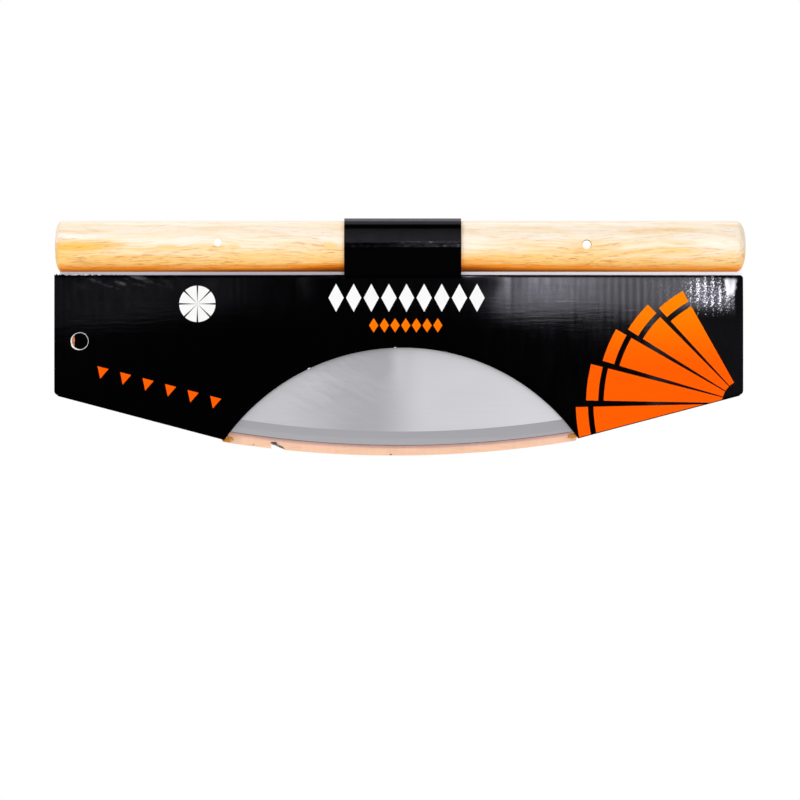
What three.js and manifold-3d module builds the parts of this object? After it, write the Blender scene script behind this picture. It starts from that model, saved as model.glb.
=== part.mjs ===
// Rocker pizza cutter: a curved steel blade pinned into a round wooden handle, in its folded card sleeve.
// Millimetres, +Z up, +X along the handle, front towards -Y, origin at the middle of the handle's axis.

import * as THREE from 'three';
import { mergeVertices } from 'three/addons/utils/BufferGeometryUtils.js';
import Module from 'manifold-3d';

const wasm = await Module();
wasm.setup();

// Handle: a turned dowel with softened ends and a sawn slot for the blade
const handleLength = 350;
const handleDiameter = 25.8;
const handleEndFlat = 10.4;
const handleEndDepth = 4.2;

// Two pins that hold the blade's tang in the handle
const pinDiameter = 4.5;
const pinSpacing = 186;
const pinShift = 0.6;
const leftPinRise = 1.8;
const rightPinRise = 0.5;

// Blade: a plate with leaning ends, whose lower edge is ground along an arc
const bladeThickness = 1.5;
const bladeInset = 2;
const bladeDrop = 101;
const tangRise = 6;
const endLean = THREE.MathUtils.degToRad(14.6);
const bladeCornerRadius = 5;
const edgeRadius = 550;
const edgeThickness = 0.3;
const bevelWidth = 7.2;

// Clearances: blade and pins in the wood, card against what it wraps, and the open line of a crease
const woodClearance = 0.15;
const cardClearance = 0.3;
const strapClearance = 0.25;
const creaseClearance = 0.3;

// Card: thin corrugated board, pressed flatter in the strap and flattest along a fold
const boardThickness = 1.2;
const strapThickness = 1;
const foldThickness = 0.8;
const foldRound = 0.72;

// Sleeve panels
const panelInset = 0.6;
const panelShift = -1.15;
const panelDrop = 1.7;
const panelCornerRadius = 1.6;
const panelLift = 0.5;
const foldSlope = THREE.MathUtils.degToRad(14.8);
const lipReach = 5;
const lipShift = -3;
const lipEndRun = 0.8;

// Window in the front panel, an arc that opens downwards over the blade's edge
const windowRadius = 109;
const windowRise = 49.6;

// Round hole punched near the front panel's left end
const holeDiameter = 8.4;
const holeInset = 13;
const holeDrop = 33.4;

// Flaps turned up from the bottom folds, between the blade and the front panel
const flapHeight = 38;
const flapOuterInset = 10.3;
const flapInnerInset = 8;

// Strap over the handle: the directions that its flat facets face, from straight ahead towards the top
const strapWidth = 59.1;
const strapShift = 0.85;
const shoulderFacing = THREE.MathUtils.degToRad(-21);
const slopeFacing = THREE.MathUtils.degToRad(16);
const bevelFacing = THREE.MathUtils.degToRad(66);
const topFacing = Math.PI / 2;

// Facet counts
const handleSides = 48;
const endSteps = 6;
const pinSides = 24;
const edgeTurnSteps = 400;
const edgeArcSteps = 36;
const cornerSteps = 4;
const columnStep = 5;
const foldCornerSteps = 3;

// Points closer than this are one point of a mesh
const mergeTolerance = 1e-4;

// Places worked out from the sizes above
const handleRadius = handleDiameter / 2;
const bladeHalfLength = handleLength / 2 - bladeInset;
const edgeCentreZ = edgeRadius - bladeDrop;
const panelHalfWidth = handleLength / 2 - panelInset;
const panelLeft = panelShift - panelHalfWidth;
const panelRight = panelShift + panelHalfWidth;
const panelTop = -(handleRadius + panelDrop);
const flapInnerFace = bladeThickness / 2 + cardClearance;
const flapOuterFace = flapInnerFace + boardThickness;
const frontInnerFace = flapOuterFace + cardClearance;
const backInnerFace = flapInnerFace;
const strapInnerRadius = handleRadius + strapClearance;
const strapOuterRadius = strapInnerRadius + strapThickness;
const foldRadius = edgeRadius + cardClearance + foldThickness;
const foldMeetZ = edgeCentreZ - foldRadius / Math.cos(foldSlope);
const foldRaise = (foldThickness + creaseClearance) / Math.cos(foldSlope);
const windowCentreZ = windowRise - bladeDrop - windowRadius;

// Finishes
const wood = { color: 0xe8c48c, roughness: 0.45, metalness: 0 };
const steel = { color: 0xc9cacc, roughness: 0.35, metalness: 1 };
const pinMetal = { color: 0xe6e6e4, roughness: 0.4, metalness: 1 };
const blackCard = { color: 0x0c0c0e, roughness: 0.4, metalness: 0 };

// Basic tools for solids

function dropEmptyTriangles(geometry) {
  const index = Array.from(geometry.index.array);
  const kept = [];
  for (let i = 0; i < index.length; i += 3) {
    const [a, b, c] = index.slice(i, i + 3);
    if (a !== b && b !== c && c !== a) kept.push(a, b, c);
  }
  geometry.setIndex(kept);
  return geometry;
}

function toSolid(geometry) {
  const bare = geometry.clone();
  bare.deleteAttribute('normal');
  bare.deleteAttribute('uv');
  const merged = dropEmptyTriangles(mergeVertices(bare, mergeTolerance));
  return new wasm.Manifold(new wasm.Mesh({
    numProp: 3,
    vertProperties: new Float32Array(merged.attributes.position.array),
    triVerts: new Uint32Array(merged.index.array),
  }));
}

function toGeometry(solid) {
  const { vertProperties, triVerts } = solid.getMesh();
  const geometry = new THREE.BufferGeometry();
  geometry.setAttribute('position', new THREE.BufferAttribute(new Float32Array(vertProperties), 3));
  geometry.setIndex(Array.from(triVerts));
  return geometry;
}

function cut(geometry, ...cutters) {
  let solid = toSolid(geometry);
  for (const cutter of cutters) solid = solid.subtract(toSolid(cutter));
  return toGeometry(solid);
}

function common(geometry, other) {
  return toGeometry(toSolid(geometry).intersect(toSolid(other)));
}

function piece(name, geometry, finish) {
  const crisp = geometry.index ? geometry.toNonIndexed() : geometry;
  crisp.computeVertexNormals();
  const mesh = new THREE.Mesh(crisp, new THREE.MeshStandardMaterial({ ...finish, flatShading: true }));
  mesh.name = name;
  return mesh;
}

// An outline drawn in X and Z, made into a plate between two depths
function plate(shape, nearY, farY, curveSegments = 1) {
  const depth = farY - nearY;
  const geometry = new THREE.ExtrudeGeometry(shape, { depth, bevelEnabled: false, curveSegments });
  const basis = new THREE.Matrix4().makeBasis(
    new THREE.Vector3(1, 0, 0), new THREE.Vector3(0, 0, 1), new THREE.Vector3(0, -1, 0));
  return geometry.applyMatrix4(basis).translate(0, farY, 0);
}

// A section drawn in Y and Z, drawn out along X
function bar(shape, startX, endX, curveSegments = 1) {
  const depth = endX - startX;
  const geometry = new THREE.ExtrudeGeometry(shape, { depth, bevelEnabled: false, curveSegments });
  const basis = new THREE.Matrix4().makeBasis(
    new THREE.Vector3(0, 1, 0), new THREE.Vector3(0, 0, 1), new THREE.Vector3(1, 0, 0));
  return geometry.applyMatrix4(basis).translate(startX, 0, 0);
}

function polygon(points) {
  return new THREE.Shape(points.map(([u, v]) => new THREE.Vector2(u, v)));
}

function crossRod(radius, length, x, z) {
  return new THREE.CylinderGeometry(radius, radius, length, pinSides).translate(x, 0, z);
}

// Handle and pins

function turnedHandle() {
  const flatRadius = handleEndFlat / 2;
  const roundWidth = handleRadius - flatRadius;
  const halfStraight = handleLength / 2 - handleEndDepth;
  const profile = [new THREE.Vector2(0, -handleLength / 2)];
  for (let i = 0; i <= endSteps; i++) {
    const t = (i / endSteps) * Math.PI / 2;
    const along = halfStraight + handleEndDepth * Math.cos(t);
    profile.push(new THREE.Vector2(flatRadius + roundWidth * Math.sin(t), -along));
  }
  const mirrored = profile.map((p) => new THREE.Vector2(p.x, -p.y)).reverse();
  return new THREE.LatheGeometry([...profile, ...mirrored], handleSides).rotateZ(-Math.PI / 2);
}

const pinPlaces = {
  left_pin: [pinShift - pinSpacing / 2, leftPinRise],
  right_pin: [pinShift + pinSpacing / 2, rightPinRise],
};
const throughLength = handleDiameter * 2;

function slottedHandle() {
  const slotTop = tangRise + woodClearance;
  const slotHalfWidth = bladeThickness / 2 + woodClearance;
  const slot = bar(polygon([
    [-slotHalfWidth, -handleDiameter], [slotHalfWidth, -handleDiameter],
    [slotHalfWidth, slotTop], [-slotHalfWidth, slotTop],
  ]), -handleLength, handleLength);
  const boreRadius = pinDiameter / 2 + woodClearance;
  const bores = Object.values(pinPlaces).map(([x, z]) => crossRod(boreRadius, throughLength, x, z));
  return cut(turnedHandle(), slot, ...bores);
}

// A pin is cut off flush, so its ends follow the round of the wood
function flushPin(x, z) {
  return common(crossRod(pinDiameter / 2, throughLength, x, z), turnedHandle());
}

// Blade

// The corner between a leaning end and the edge's arc: a small arc that touches both
function bladeCorner() {
  const start = new THREE.Vector2(bladeHalfLength, -handleRadius);
  const along = new THREE.Vector2(-Math.sin(endLean), -Math.cos(endLean));
  const inward = new THREE.Vector2(-Math.cos(endLean), Math.sin(endLean));
  const offset = start.clone().addScaledVector(inward, bladeCornerRadius).sub(new THREE.Vector2(0, edgeCentreZ));
  const reach = edgeRadius - bladeCornerRadius;
  const half = offset.dot(along);
  const run = -half + Math.sqrt(half * half - offset.lengthSq() + reach * reach);
  const centre = offset.clone().addScaledVector(along, run);
  const onEdge = Math.atan2(centre.y, centre.x);
  return { centre: centre.add(new THREE.Vector2(0, edgeCentreZ)), onEdge };
}

function bladeOutline() {
  const { centre, onEdge } = bladeCorner();
  const shape = new THREE.Shape();
  shape.moveTo(-bladeHalfLength, tangRise);
  shape.lineTo(-bladeHalfLength, -handleRadius);
  shape.absarc(-centre.x, centre.y, bladeCornerRadius, Math.PI + endLean, Math.PI - onEdge, false);
  shape.absarc(0, edgeCentreZ, edgeRadius, Math.PI - onEdge, onEdge, false);
  shape.absarc(centre.x, centre.y, bladeCornerRadius, onEdge, -endLean, false);
  shape.lineTo(bladeHalfLength, -handleRadius);
  shape.lineTo(bladeHalfLength, tangRise);
  return shape;
}

// A thick disc with a sharpened rim: what it shares with the plate has the ground bevel on both faces
function bevelledDisc() {
  const taper = (bladeThickness - edgeThickness) / 2 / bevelWidth;
  const margin = bladeThickness;
  const halfThickness = bladeThickness / 2 + margin;
  const shoulder = edgeRadius - bevelWidth - margin / taper;
  const rimHalf = edgeThickness / 4;
  const rimReach = (edgeThickness / 2 - rimHalf) / taper;
  const half = [
    [0, halfThickness], [shoulder, halfThickness], [edgeRadius + rimReach, rimHalf],
  ];
  const profile = [...half.map(([r, y]) => [r, -y]), ...half.slice().reverse()];
  const points = profile.map(([r, y]) => new THREE.Vector2(r, y));
  return new THREE.LatheGeometry(points, edgeTurnSteps).translate(0, 0, edgeCentreZ);
}

function groundBlade() {
  const blank = plate(bladeOutline(), -bladeThickness / 2, bladeThickness / 2, edgeArcSteps);
  const holeRadius = pinDiameter / 2 + woodClearance;
  const holes = Object.values(pinPlaces).map(([x, z]) => crossRod(holeRadius, throughLength, x, z));
  return cut(common(blank, bevelledDisc()), ...holes);
}

// Sleeve outlines

// Height of the bottom folds' outer line, which touches the blade's edge with the fold between
const foldLine = (x) => foldMeetZ + Math.abs(x) * Math.tan(foldSlope);

// Height of the window's arc, far below the panel where the window has ended
function windowArc(x) {
  const across = x - strapShift;
  if (Math.abs(across) >= windowRadius) return foldMeetZ;
  return windowCentreZ + Math.sqrt(windowRadius ** 2 - across ** 2);
}

// Where the window's arc meets a bottom fold's line, on the left (-1) or right (+1)
function windowTip(side) {
  const slope = side * Math.tan(foldSlope);
  const a = 1 + slope * slope;
  const rise = foldMeetZ - windowCentreZ;
  const b = slope * rise - strapShift;
  const c = strapShift ** 2 + rise ** 2 - windowRadius ** 2;
  return (-b + side * Math.sqrt(b * b - a * c)) / a;
}

const tips = { left: windowTip(-1), right: windowTip(1) };

// The back panel's lip follows the blade's edge just below it, and its ends keep clear of the leaning fold ends
const lipGap = foldRaise * Math.sin(foldSlope);
const lipEnds = { left: tips.left + lipGap, right: tips.right - lipGap };
const lipArc = (x) => edgeCentreZ - Math.sqrt((edgeRadius + lipReach) ** 2 - (x - lipShift) ** 2);

// How much a panel's round corner takes off its height near either end
function cornerDrop(x) {
  const past = Math.abs(x - panelShift) - (panelHalfWidth - panelCornerRadius);
  if (past <= 0) return 0;
  return panelCornerRadius - Math.sqrt(Math.max(panelCornerRadius ** 2 - past ** 2, 0));
}

const panelHigh = (x) => panelTop - cornerDrop(x);
const frontLow = (x) => Math.max(foldLine(x) + panelLift, windowArc(x)) + cornerDrop(x);

function backLow(x) {
  const raised = foldLine(x) + foldRaise + cornerDrop(x);
  const past = Math.max(lipEnds.left + lipEndRun - x, x - lipEnds.right + lipEndRun) / lipEndRun;
  return THREE.MathUtils.lerp(lipArc(x), raised, THREE.MathUtils.clamp(past, 0, 1));
}

// Places along a panel where its section is set: every few millimetres, at its corners and at what it meets
function panelColumns() {
  const corners = [];
  for (let i = 0; i <= cornerSteps; i++) {
    const t = (i / cornerSteps) * Math.PI / 2;
    const end = panelHalfWidth - panelCornerRadius * (1 - Math.sin(t));
    corners.push(panelShift - end, panelShift + end);
  }
  const strapEnds = [strapShift - strapWidth / 2, strapShift + strapWidth / 2];
  const ramps = [lipEnds.left, lipEnds.left + lipEndRun, lipEnds.right - lipEndRun, lipEnds.right];
  const marks = [...corners, ...strapEnds, tips.left, tips.right, ...ramps].sort((a, b) => a - b);
  const columns = [];
  marks.forEach((x, i) => {
    if (i > 0) {
      const steps = Math.ceil((x - marks[i - 1]) / columnStep);
      for (let k = 1; k < steps; k++) columns.push(THREE.MathUtils.lerp(marks[i - 1], x, k / steps));
    }
    columns.push(x);
  });
  return columns;
}

// The strap pulls each panel's top edge outwards. The pull fades towards the ends and is nothing at the foot.
function pullShare(x) {
  const past = Math.abs(x - strapShift) - strapWidth / 2;
  if (past <= 0) return 1;
  const room = (x < strapShift ? strapShift - panelLeft : panelRight - strapShift) - strapWidth / 2;
  return (1 + Math.cos(Math.PI * Math.min(past / room, 1))) / 2;
}

// Distance of a facet of the strap in front of the handle's axis, at a height
const facetDepth = (radius, facing, z) => (radius - z * Math.sin(facing)) / Math.cos(facing);

// A board with one upright section at each column: straight from foot to top, pulled outwards at the top
function pulledBoard(lowAt, footAt, innerFace, side) {
  const pull = facetDepth(strapInnerRadius, shoulderFacing, panelTop) - innerFace;
  const depthAt = (x, z) => {
    const share = (z - footAt(x)) / (panelTop - footAt(x));
    return innerFace + pull * pullShare(x) * Math.max(share, 0);
  };
  const columns = panelColumns();
  const corners = columns.flatMap((x) => {
    const low = lowAt(x);
    const high = panelHigh(x);
    const lowDepth = depthAt(x, low);
    const highDepth = depthAt(x, high);
    return [
      [x, side * lowDepth, low],
      [x, side * highDepth, high],
      [x, side * (highDepth + boardThickness), high],
      [x, side * (lowDepth + boardThickness), low],
    ];
  });
  const quads = [[0, 3, 2, 1]];
  for (let i = 0; i + 1 < columns.length; i++) {
    const near = 4 * i;
    const far = near + 4;
    for (let k = 0; k < 4; k++) {
      const next = (k + 1) % 4;
      quads.push([near + k, near + next, far + next, far + k]);
    }
  }
  const last = 4 * (columns.length - 1);
  quads.push([last, last + 1, last + 2, last + 3]);
  const outward = side < 0 ? quads : quads.map((q) => q.slice().reverse());
  const geometry = new THREE.BufferGeometry();
  geometry.setAttribute('position', new THREE.Float32BufferAttribute(corners.flat(), 3));
  geometry.setIndex(outward.flatMap(([a, b, c, d]) => [a, b, c, a, c, d]));
  return geometry;
}

function punchedFrontPanel() {
  const panel = pulledBoard(frontLow, (x) => Math.max(foldLine(x), foldLine(tips.left)), frontInnerFace, -1);
  const hole = crossRod(holeDiameter / 2, throughLength, panelLeft + holeInset, panelTop - holeDrop);
  return cut(panel, hole);
}

// Strap

// The corner where two neighbouring facets of the strap meet, in depth and height
function facetCorner(radius, facingA, facingB) {
  const reach = radius / Math.cos((facingB - facingA) / 2);
  const middle = (facingA + facingB) / 2;
  return new THREE.Vector2(reach * Math.cos(middle), reach * Math.sin(middle));
}

// One flat facet between two creases, mitred at both, with half a crease's clearance taken off each end
function strapFacet(before, facing, after) {
  const along = new THREE.Vector2(-Math.sin(facing), Math.cos(facing));
  const back = creaseClearance / 2;
  const corners = [
    facetCorner(strapInnerRadius, before, facing).addScaledVector(along, back),
    facetCorner(strapInnerRadius, facing, after).addScaledVector(along, -back),
    facetCorner(strapOuterRadius, facing, after).addScaledVector(along, -back),
    facetCorner(strapOuterRadius, before, facing).addScaledVector(along, back),
  ];
  return drawnAcross(corners.map((p) => [-p.x, p.y]));
}

// The shoulder from the top edge of a panel to the strap's first crease
function strapShoulder(side) {
  const along = new THREE.Vector2(-Math.sin(shoulderFacing), Math.cos(shoulderFacing));
  const foot = panelTop + creaseClearance;
  const back = -creaseClearance / 2;
  const inner = facetCorner(strapInnerRadius, shoulderFacing, slopeFacing).addScaledVector(along, back);
  const outer = facetCorner(strapOuterRadius, shoulderFacing, slopeFacing).addScaledVector(along, back);
  return drawnAcross([
    [side * facetDepth(strapInnerRadius, shoulderFacing, foot), foot],
    [side * inner.x, inner.y],
    [side * outer.x, outer.y],
    [side * facetDepth(strapOuterRadius, shoulderFacing, foot), foot],
  ]);
}

function drawnAcross(points) {
  return bar(polygon(points), strapShift - strapWidth / 2, strapShift + strapWidth / 2);
}

const turnedBack = (facing) => Math.PI - facing;
const facings = [
  shoulderFacing, slopeFacing, bevelFacing, topFacing,
  turnedBack(bevelFacing), turnedBack(slopeFacing), turnedBack(shoulderFacing),
];
const facetNames = [
  'strap_front_slope', 'strap_front_bevel', 'strap_top', 'strap_back_bevel', 'strap_back_slope',
];

// Bottom folds and flaps, drawn along the fold's own line: u runs outwards from the window's tip, v square to it

function bottomFold(side, tipX, endX) {
  const length = Math.abs(endX - tipX) / Math.cos(foldSlope) - panelCornerRadius;
  const section = new THREE.Shape();
  section.moveTo(-flapOuterFace, foldThickness);
  section.lineTo(-flapOuterFace, foldRound);
  section.absarc(-flapOuterFace + foldRound, foldRound, foldRound, Math.PI, Math.PI * 1.5, false);
  section.absarc(flapOuterFace - foldRound, foldRound, foldRound, Math.PI * 1.5, Math.PI * 2, false);
  section.lineTo(flapOuterFace, foldThickness);
  const start = side < 0 ? -length : 0;
  return bar(section, start, start + length, foldCornerSteps);
}

function bottomFlap(side, tipX, endX) {
  const low = foldThickness + creaseClearance;
  const high = low + flapHeight;
  const outerLow = (Math.abs(endX - tipX) - flapOuterInset) / Math.cos(foldSlope);
  const lean = Math.tan(foldSlope);
  const outline = [
    [flapInnerInset, low], [outerLow + low * lean, low],
    [outerLow + high * lean, high], [flapInnerInset, high],
  ];
  const shape = polygon(outline.map(([u, v]) => [side * u, v]));
  return plate(shape, -flapOuterFace, -flapInnerFace);
}

// Assembly

const cutter = new THREE.Group();
cutter.add(piece('handle', slottedHandle(), wood));
cutter.add(piece('blade', groundBlade(), steel));
for (const [name, [x, z]] of Object.entries(pinPlaces)) cutter.add(piece(name, flushPin(x, z), pinMetal));

const sleeve = new THREE.Group();
sleeve.add(piece('front_panel', punchedFrontPanel(), blackCard));
sleeve.add(piece('back_panel', pulledBoard(backLow, backLow, backInnerFace, 1), blackCard));
sleeve.add(piece('front_shoulder', strapShoulder(-1), blackCard));
sleeve.add(piece('back_shoulder', strapShoulder(1), blackCard));
facetNames.forEach((name, i) => {
  sleeve.add(piece(name, strapFacet(facings[i], facings[i + 1], facings[i + 2]), blackCard));
});

const foldSides = [
  { name: 'left', side: -1, tipX: tips.left, endX: panelLeft },
  { name: 'right', side: 1, tipX: tips.right, endX: panelRight },
];
for (const { name, side, tipX, endX } of foldSides) {
  const line = new THREE.Group();
  line.position.set(tipX, 0, foldLine(tipX));
  line.rotation.y = -side * foldSlope;
  line.add(piece(`${name}_bottom_fold`, bottomFold(side, tipX, endX), blackCard));
  line.add(piece(`${name}_flap`, bottomFlap(side, tipX, endX), blackCard));
  sleeve.add(line);
}

const pizzaCutter = new THREE.Group();
pizzaCutter.add(cutter, sleeve);

export default pizzaCutter;
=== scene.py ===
# %% [markdown]
# # A rocker pizza cutter in its card sleeve
# The object is a wide steel blade with a curved edge, pinned into a round wooden handle and still wrapped in
# the folded card sleeve that it is sold in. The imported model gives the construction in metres, so every piece
# made here takes its size and place from that frame. What is left to do is the finish: turned wood, ground
# steel, and a corrugated card whose layers, flutes, creases and torn edges show when the cover is lifted.

# %% Load the frame
import math

import bmesh
import bpy
import numpy as np
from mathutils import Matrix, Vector, noise


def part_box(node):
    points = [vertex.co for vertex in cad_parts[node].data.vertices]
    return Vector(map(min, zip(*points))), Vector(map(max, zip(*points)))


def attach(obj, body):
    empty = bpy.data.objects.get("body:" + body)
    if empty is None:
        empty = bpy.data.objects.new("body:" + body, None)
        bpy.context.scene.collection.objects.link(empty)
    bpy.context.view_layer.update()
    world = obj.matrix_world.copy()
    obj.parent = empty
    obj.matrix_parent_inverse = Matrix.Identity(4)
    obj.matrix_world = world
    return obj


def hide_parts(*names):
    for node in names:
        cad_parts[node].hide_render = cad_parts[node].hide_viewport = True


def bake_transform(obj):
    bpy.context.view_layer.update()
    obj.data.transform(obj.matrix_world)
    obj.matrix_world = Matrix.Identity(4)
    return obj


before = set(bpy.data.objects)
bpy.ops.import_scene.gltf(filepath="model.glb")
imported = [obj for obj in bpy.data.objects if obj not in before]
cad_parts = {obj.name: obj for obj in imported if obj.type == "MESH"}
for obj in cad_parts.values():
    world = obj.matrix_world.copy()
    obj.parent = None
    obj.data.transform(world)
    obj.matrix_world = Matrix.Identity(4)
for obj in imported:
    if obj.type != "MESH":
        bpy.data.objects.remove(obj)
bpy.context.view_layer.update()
MM = 0.001

# %% [markdown]
# ## Camera
# The photograph looks straight at the front of the sleeve. One pixel is about half a millimetre at the
# handle's axis, and the axis crosses the picture well above its middle. Putting the camera level with the
# picture's middle keeps both the pixel scale and the upright lines, without any lens shift.

# %% Camera
PHOTO_SIDE = 800
PIXEL = 0.507 * MM
AXIS_PIXEL_X = 401
AXIS_PIXEL_Y = 246.5
CAMERA_DISTANCE = 2.4


def put(name, data):
    """A new object in the scene for a mesh, a lamp or a camera."""
    made = bpy.data.objects.new(name, data)
    bpy.context.scene.collection.objects.link(made)
    return made


camera = put("camera", bpy.data.cameras.new("camera"))
camera.data.angle = 2 * math.atan(PHOTO_SIDE / 2 * PIXEL / CAMERA_DISTANCE)
camera.location = (
    (PHOTO_SIDE / 2 - AXIS_PIXEL_X) * PIXEL,
    -CAMERA_DISTANCE,
    (AXIS_PIXEL_Y - PHOTO_SIDE / 2) * PIXEL,
)
camera.rotation_euler = (math.pi / 2, 0, 0)
bpy.context.scene.camera = camera
print("camera at", tuple(round(c, 4) for c in camera.location))

# %% [markdown]
# ## Shader arithmetic
# A finish is easier to read as a formula than as a heap of boxes and noodles. This class wraps one output
# socket of a node, so that `1 - mask` or `a * b` adds the Math nodes by itself. Any other node comes from its
# `node` method, which sets the node's own settings first and then feeds its sockets with values or with other
# wires.

# %% Shader arithmetic
class Wire:
    """One output socket. Arithmetic on it adds Math nodes to the same tree."""

    def __init__(self, socket):
        self.socket = socket

    def node(self, kind, settings=None, sockets=None, out=0):
        made = self.socket.id_data.nodes.new(kind)
        for name, value in (settings or {}).items():
            setattr(made, name, value)
        feed(made, sockets or {})
        return Wire(made.outputs[out])

    def math(self, operation, *others):
        return self.node("ShaderNodeMath", {"operation": operation}, dict(enumerate((self, *others))))

    def __add__(self, other):
        return self.math("ADD", other)

    def __sub__(self, other):
        return self.math("SUBTRACT", other)

    def __rsub__(self, other):
        return self.node("ShaderNodeMath", {"operation": "SUBTRACT"}, {0: other, 1: self})

    def __mul__(self, other):
        return self.math("MULTIPLY", other)

    def __truediv__(self, other):
        return self.math("DIVIDE", other)

    def __pow__(self, other):
        return self.math("POWER", other)

    def __lt__(self, other):
        return self.math("LESS_THAN", other)

    def __gt__(self, other):
        return self.math("GREATER_THAN", other)

    def __abs__(self):
        return self.math("ABSOLUTE")

    __radd__ = __add__
    __rmul__ = __mul__


def feed(node, sockets):
    """Sets sockets of a node to plain values, or links them to wires."""
    for name, value in sockets.items():
        if isinstance(value, Wire):
            node.id_data.links.new(value.socket, node.inputs[name])
        else:
            node.inputs[name].default_value = value


def split(vector):
    parts = vector.node("ShaderNodeSeparateXYZ", None, {"Vector": vector}).socket.node
    return [Wire(output) for output in parts.outputs]


def joined(x, y, z):
    return x.node("ShaderNodeCombineXYZ", None, {"X": x, "Y": y, "Z": z})


def from_centre(across, up):
    """Distance from the point where both are 0."""
    return (across * across + up * up) ** 0.5


def within(value):
    """How far a value is past the last whole number."""
    return value - value.math("FLOOR")


def grain(place, scale, detail=3.0, roughness=0.55, offset=(0.0, 0.0, 0.0)):
    """Noise whose features are 1 / scale metres long, with a scale of its own along each axis."""
    spread = place.node(
        "ShaderNodeMapping", {"vector_type": "POINT"}, {"Vector": place, "Scale": scale, "Location": offset})
    return spread.node(
        "ShaderNodeTexNoise", {"noise_dimensions": "3D"},
        {"Vector": spread, "Scale": 1.0, "Detail": detail, "Roughness": roughness})


def ease(value, low, high):
    """0 below low, 1 above high, and a smooth step between them."""
    return value.node(
        "ShaderNodeMapRange", {"interpolation_type": "SMOOTHSTEP"},
        {"Value": value, "From Min": low, "From Max": high})


def bell(value, middle, width):
    """1 at the middle, falling smoothly to 0 one width away on either side."""
    return 1 - ease(abs(value - middle), 0.0, width)


def mixed(factor, first, second):
    settings = {"data_type": "RGBA", "clamp_factor": True}
    return factor.node("ShaderNodeMix", settings, {"Factor": factor, 6: first, 7: second}, out=2)


def bumped(height, distance):
    return height.node("ShaderNodeBump", None, {"Height": height, "Distance": distance, "Strength": 1.0})


def start_finish(name, constants):
    """A new material: itself, its Principled shader with the values that never vary, and its Object place."""
    material = bpy.data.materials.new(name)
    material.use_nodes = True
    shader = material.node_tree.nodes["Principled BSDF"]
    feed(shader, constants)
    coordinates = material.node_tree.nodes.new("ShaderNodeTexCoord")
    return material, shader, Wire(coordinates.outputs["Object"])


print("shader arithmetic is ready")

# %% [markdown]
# ## Stage
# The photograph is a cut-out on white, with even light from all around. The world is white to the camera and
# in reflections, and dimmer as a light. The floor lies well below the hanging object: it keeps the object's
# shadow close by, and further out it is as white as the world, so that no horizon shows.

# %% World and floor
FLOOR_HEIGHT = -0.42
FLOOR_HALF = 6.0
FLOOR_CORNERS = ((-1, -1), (1, -1), (1, 1), (-1, 1))
WORLD_FILL = 0.44
FLOOR_FILL = 1.0
FLOOR_GLOW = 0.8
GLOW_NEAR = 0.30
GLOW_FAR = 0.58


def looking(tree_nodes):
    """1 for rays that look at the surroundings, straight or mirrored, and 0 for rays that gather light."""
    path = tree_nodes.new("ShaderNodeLightPath")
    seen = Wire(path.outputs["Is Camera Ray"])
    for ray in ("Is Glossy Ray", "Is Transmission Ray"):
        seen = seen.math("MAXIMUM", Wire(path.outputs[ray]))
    return seen


def studio_world():
    world = bpy.data.worlds.new("studio")
    world.use_nodes = True
    seen = looking(world.node_tree.nodes)
    strength = seen * (1 - WORLD_FILL) + WORLD_FILL
    feed(world.node_tree.nodes["Background"], {"Color": (1, 1, 1, 1), "Strength": strength})
    bpy.context.scene.world = world


def floor_paper():
    constants = {"Base Color": (0.9, 0.9, 0.9, 1), "Roughness": 0.9, "Specular IOR Level": 0.0}
    material, shader, place = start_finish("floor_paper", constants)
    x, y, _ = split(place)
    glow = ease(from_centre(x, y), GLOW_NEAR, GLOW_FAR) * (1 - FLOOR_GLOW) + FLOOR_GLOW
    nodes = material.node_tree.nodes
    seen = looking(nodes)
    share = seen * glow + (1 - seen) * FLOOR_FILL
    light = Wire(nodes.new("ShaderNodeEmission").outputs[0])
    blend = share.node("ShaderNodeMixShader", None, {0: share, 1: Wire(shader.outputs[0]), 2: light})
    feed(nodes["Material Output"], {"Surface": blend})
    return material


def pale_floor():
    corners = [(x * FLOOR_HALF, y * FLOOR_HALF, FLOOR_HEIGHT) for x, y in FLOOR_CORNERS]
    mesh = bpy.data.meshes.new("floor")
    mesh.from_pydata(corners, [], [(0, 1, 2, 3)])
    mesh.materials.append(floor_paper())
    put("floor", mesh)


studio_world()
pale_floor()
bpy.context.scene.view_settings.view_transform = "Standard"
print("world and floor made")

# %% [markdown]
# ## Lamps
# Four soft boxes give the plain light. Gloss needs more than that: black varnish shows no light of its own,
# only what it mirrors. So a few more lamps are left out of the plain light and only show as reflections, each
# linked to the pieces that should mirror it: the card has its sheen from them, and the handle's ends their
# pale bands.

# %% Lamps
LAMP_TARGET = Vector((0, 0, -0.04))
LAMP_DISTANCE = 1.4
LOW_DISTANCE = 0.6
HANDLE_END = 0.163
PLAIN_WHITE = (1.0, 1.0, 1.0)
COOL_WHITE = (0.88, 0.86, 1.0)
card_gloss = bpy.data.collections.new("card_gloss")
wood_gloss = bpy.data.collections.new("wood_gloss")


def from_direction(azimuth, elevation, distance=LAMP_DISTANCE):
    """A place seen from the object in a direction in degrees, to the right of the camera and up."""
    a, e = math.radians(azimuth), math.radians(elevation)
    way = Vector((math.sin(a) * math.cos(e), -math.cos(a) * math.cos(e), math.sin(e)))
    return LAMP_TARGET + distance * way


def soft_lamp(name, place, width, height, power, target=LAMP_TARGET):
    data = bpy.data.lights.new(name, "AREA")
    data.shape = "RECTANGLE"
    data.size = width
    data.size_y = height
    data.energy = power
    lamp = put(name, data)
    lamp.location = place
    lamp.rotation_euler = (Vector(place) - target).to_track_quat("Z", "Y").to_euler()
    return lamp


def only_mirrored(lamp, pieces, tint):
    """Makes a lamp show only as a reflection, and only in the given pieces."""
    lamp.data.color = tint
    lamp.visible_diffuse = False
    lamp.light_linking.receiver_collection = pieces


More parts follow.
